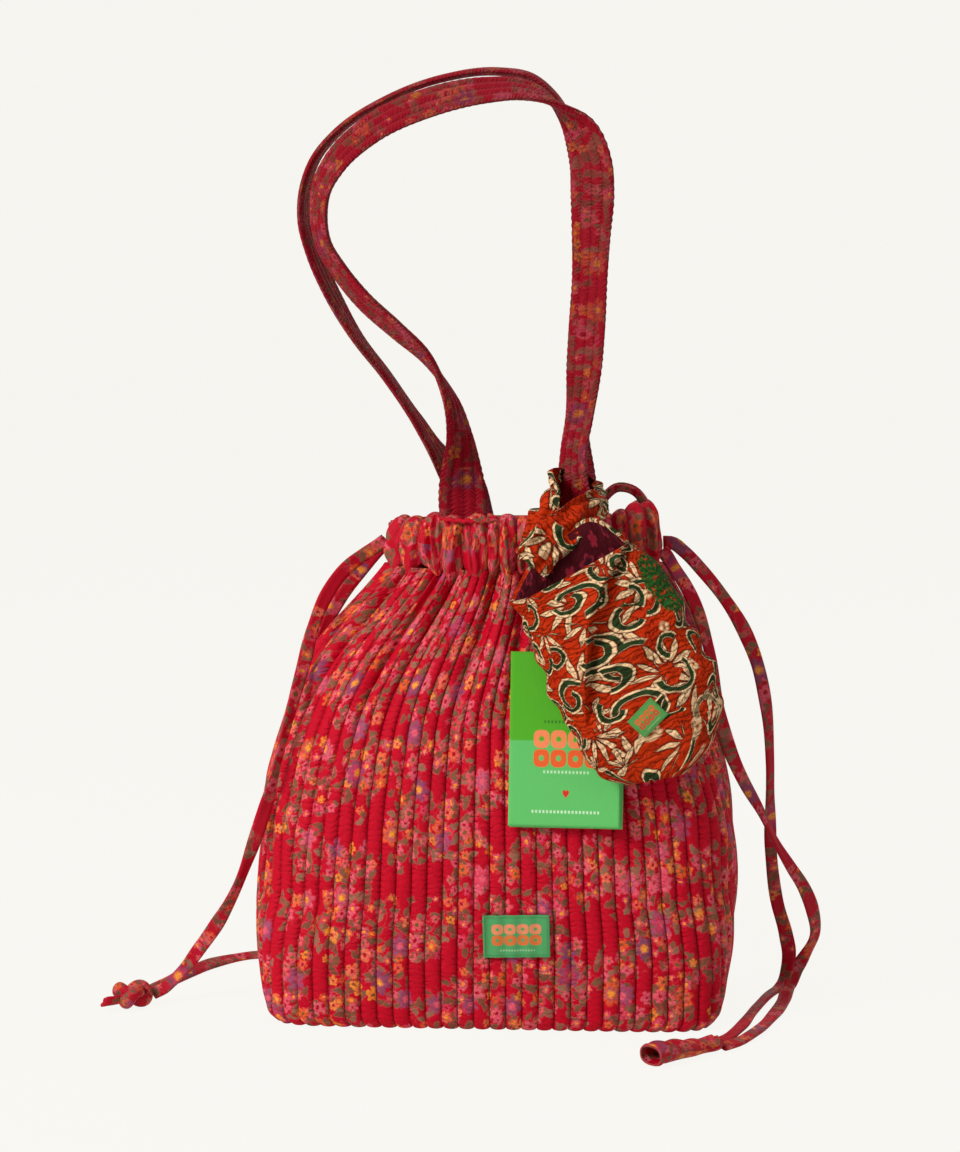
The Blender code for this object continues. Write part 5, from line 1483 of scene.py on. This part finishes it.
def small_pouch_label(finish):
    """Label on the small pouch: a gently curved patch over the front, turned with its long side rising."""
    fine = pouch_surface(np.linspace(0.30, 0.98, 120), np.linspace(0.15, math.pi - 0.15, 140), 0.0)
    fine = fine.reshape(-1, 3)
    centre = np.array((0.0922, 0.1922))
    long_way = unit(np.array((0.68, 0.733)))
    short_way = np.array((-long_way[1], long_way[0]))
    offset = fine[:, [0, 2]] - centre
    along, aside = offset @ long_way, offset @ short_way
    near = (np.abs(along) < 0.0115) & (np.abs(aside) < 0.0085)
    terms = bowl_terms(along[near], aside[near])
    fit = np.linalg.lstsq(terms, fine[near, 1], rcond=None)[0]
    proud = (fine[near, 1] - terms @ fit).min()
    u, v = np.meshgrid(np.linspace(-0.5, 0.5, 30), np.linspace(-0.5, 0.5, 22))
    along, aside = 0.0195 * u, 0.0140 * v
    y = bowl_terms(along, aside) @ fit + 0.55 * proud - 0.0009
    x = centre[0] + along * long_way[0] + aside * short_way[0]
    z = centre[1] + along * long_way[1] + aside * short_way[1]
    points = np.stack([x, y, z], axis=2)
    place = map_of(u + 0.5, v + 0.5)
    piece = slab("small_pouch_label", points, 0.0008, finish, place)
    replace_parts(piece, "charm_label")


BAND_ROUTE = [(0.0225, -0.0765, 0.2765), (0.0260, -0.0765, 0.2805), (0.0310, -0.0758, 0.2855),
              (0.0375, -0.0740, 0.2915), (0.0450, -0.0705, 0.2975), (0.0530, -0.0645, 0.3025),
              (0.0602, -0.0550, 0.3055), (0.0640, -0.0430, 0.3080), (0.0620, -0.0300, 0.3120),
              (0.0540, -0.0235, 0.3150), (0.0450, -0.0235, 0.3172), (0.0378, -0.0300, 0.3178),
              (0.0335, -0.0400, 0.3160), (0.0305, -0.0500, 0.3105), (0.0285, -0.0580, 0.3010),
              (0.0270, -0.0640, 0.2900), (0.0265, -0.0680, 0.2780)]
BAND_WIDTH_AT = [0.0, 0.12, 0.25, 0.40, 0.55, 0.70, 0.82, 1.0]
BAND_WIDTH = [0.0240, 0.0245, 0.0240, 0.0210, 0.0200, 0.0225, 0.0250, 0.0220]
BAND_FACING_AT = [0.0, 0.25, 0.36, 0.47, 0.58, 0.70, 0.80, 0.90, 1.0]
BAND_FACING = np.array([(-0.05, -1.0, 0.15), (0.15, -1.0, 0.25), (0.6, -0.8, 0.1), (1.0, 0.0, 0.0),
                        (0.1, 1.0, 0.0), (-0.9, 0.5, 0.0), (-0.75, -0.65, 0.3), (-0.45, -0.9, 0.3),
                        (-0.1, -1.0, 0.3)])


def small_pouch_loop(finish):
    """The loop as one wide band: up across the front, round the handle's foot and down behind its own start.

    Its section is a flat oval with three lengthwise crumples, wider where it lies open on the front.
    """
    centre, places = even_route(BAND_ROUTE, 210)
    share = places / places[-1]
    width = through_points(share, BAND_WIDTH_AT, BAND_WIDTH)[:, None]
    facing = unit(np.stack([np.interp(share, BAND_FACING_AT, way) for way in BAND_FACING.T], axis=1))
    ahead = unit(np.gradient(centre, axis=0))
    normal = square_to(facing, ahead)
    around = full_turn(60)
    across = rounded(np.cos(around), 0.85)[None, :]
    through = rounded(np.sin(around), 0.6)[None, :] * (1.0 - 0.3 * across ** 4)
    ways = share[:, None]
    crumple = 0.0013 * np.sin(7.5 * across + 9.0 * ways + 1.0) + 0.0009 * np.sin(13.0 * across - 17.0 * ways)
    crumple = crumple + 0.0008 * np.sin(60.0 * ways + 3.0 * across)
    crumple = crumple + 0.0005 * np.sin(115.0 * ways - 4.0 * across)
    bow = -0.0026 * across ** 2
    edge = 1.0 + 0.05 * np.sin(31.0 * ways + 2.0 * np.sign(across)) + 0.03 * np.sin(57.0 * ways)
    points = carried(centre, np.cross(ahead, normal), normal, across * edge * width / 2,
                     through * 0.0013 + crumple + bow)
    run = np.pad(places, 1, mode="edge")
    wrap = 0.5 + np.linspace(0.0, 0.056, len(around) + 1)
    maps = {"cloth": map_of(wrap[None, :], run[:, None])}
    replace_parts(lattice("small_pouch_band", closed_ends(points), finish, maps), "charm_loop")


# Floor

def paper_sweep(finish):
    """Round floor whose rim curves up far away: height is a parabola of the distance beyond the flat part."""
    reach = np.concatenate([np.linspace(0.02, 5.0, 24), np.linspace(5.2, 8.0, 15)])[:, None]
    height = 1.9 * (np.clip(reach - 5.0, 0.0, None) / 3.0) ** 2
    turn = full_turn(96)
    x, y, z = np.broadcast_arrays(reach * np.cos(turn), reach * np.sin(turn), height)
    rows, columns = x.shape
    row, column = np.divmod(np.arange((rows - 1) * columns), columns)
    beside = (column + 1) % columns
    faces = np.stack([row * columns + column, (row + 1) * columns + column,
                      (row + 1) * columns + beside, row * columns + beside], axis=1).tolist()
    faces.append(list(range(columns)))
    mesh = bpy.data.meshes.new("paper_sweep")
    mesh.from_pydata(np.stack([x, y, z], axis=2).reshape(-1, 3).tolist(), [], faces)
    mesh.shade_smooth()
    sweep = bpy.data.objects.new("paper_sweep", mesh)
    bpy.context.collection.objects.link(sweep)
    mesh.materials.append(finish)


def main():
    add_camera()
    flowers = floral_group()
    cord_cloth = plain_print_finish("cord_print", flowers, 0.0009, 0.22)
    ends = {"knot": tail_knot(cord_cloth), "fitting": end_tube(cord_cloth)}
    for name, node, route, steps, twists, seed, far_end in TAILS:
        tail(name, node, route, steps, twists, seed, cord_cloth)
    knot_loop(cord_cloth)
    held_cords(cord_cloth)

    quilted_body(quilted_finish("quilted_print", flowers, 0.0038, 0.0008, 0.0))
    casing_cloth = plain_print_finish("casing_print", flowers, 0.0024, 0.10)
    casing("gathered_casing_front", "casing_front", True, FRONT_PLEATS, 5, casing_cloth)
    casing("gathered_casing_back", "casing_back", False, BACK_PLEATS, 6, casing_cloth)
    foot_seam("left_foot_seam", casing_cloth, (-0.0320, -0.0405, 0.2985), (0.0010, -0.0425, 0.2982))
    strap_cloth = quilted_finish("strap_print", flowers, 0.0026, 0.0007, 0.0022, 0.68)
    strap("front_handle", "strap_front", True, FRONT_ARCH, 4, strap_cloth)
    strap("back_handle", "strap_back", False, BACK_ARCH, 7, strap_cloth)

    front_weave = woven_label_finish("front_label_weave", tone(80, 162, 98), tone(236, 140, 100),
                                     tone(222, 114, 56))
    woven_label(front_weave)
    tag(tag_card_finish())
    block_print = block_print_finish()
    small_pouch(block_print, lining_finish())
    small_pouch_loop(block_print)
    small_weave = woven_label_finish("small_label_weave", tone(88, 156, 78), tone(222, 110, 50),
                                     tone(206, 84, 44))
    small_pouch_label(small_weave)

    paper_sweep(paper_finish())
    add_light()
    bpy.context.scene.view_settings.view_transform = "Standard"


main()
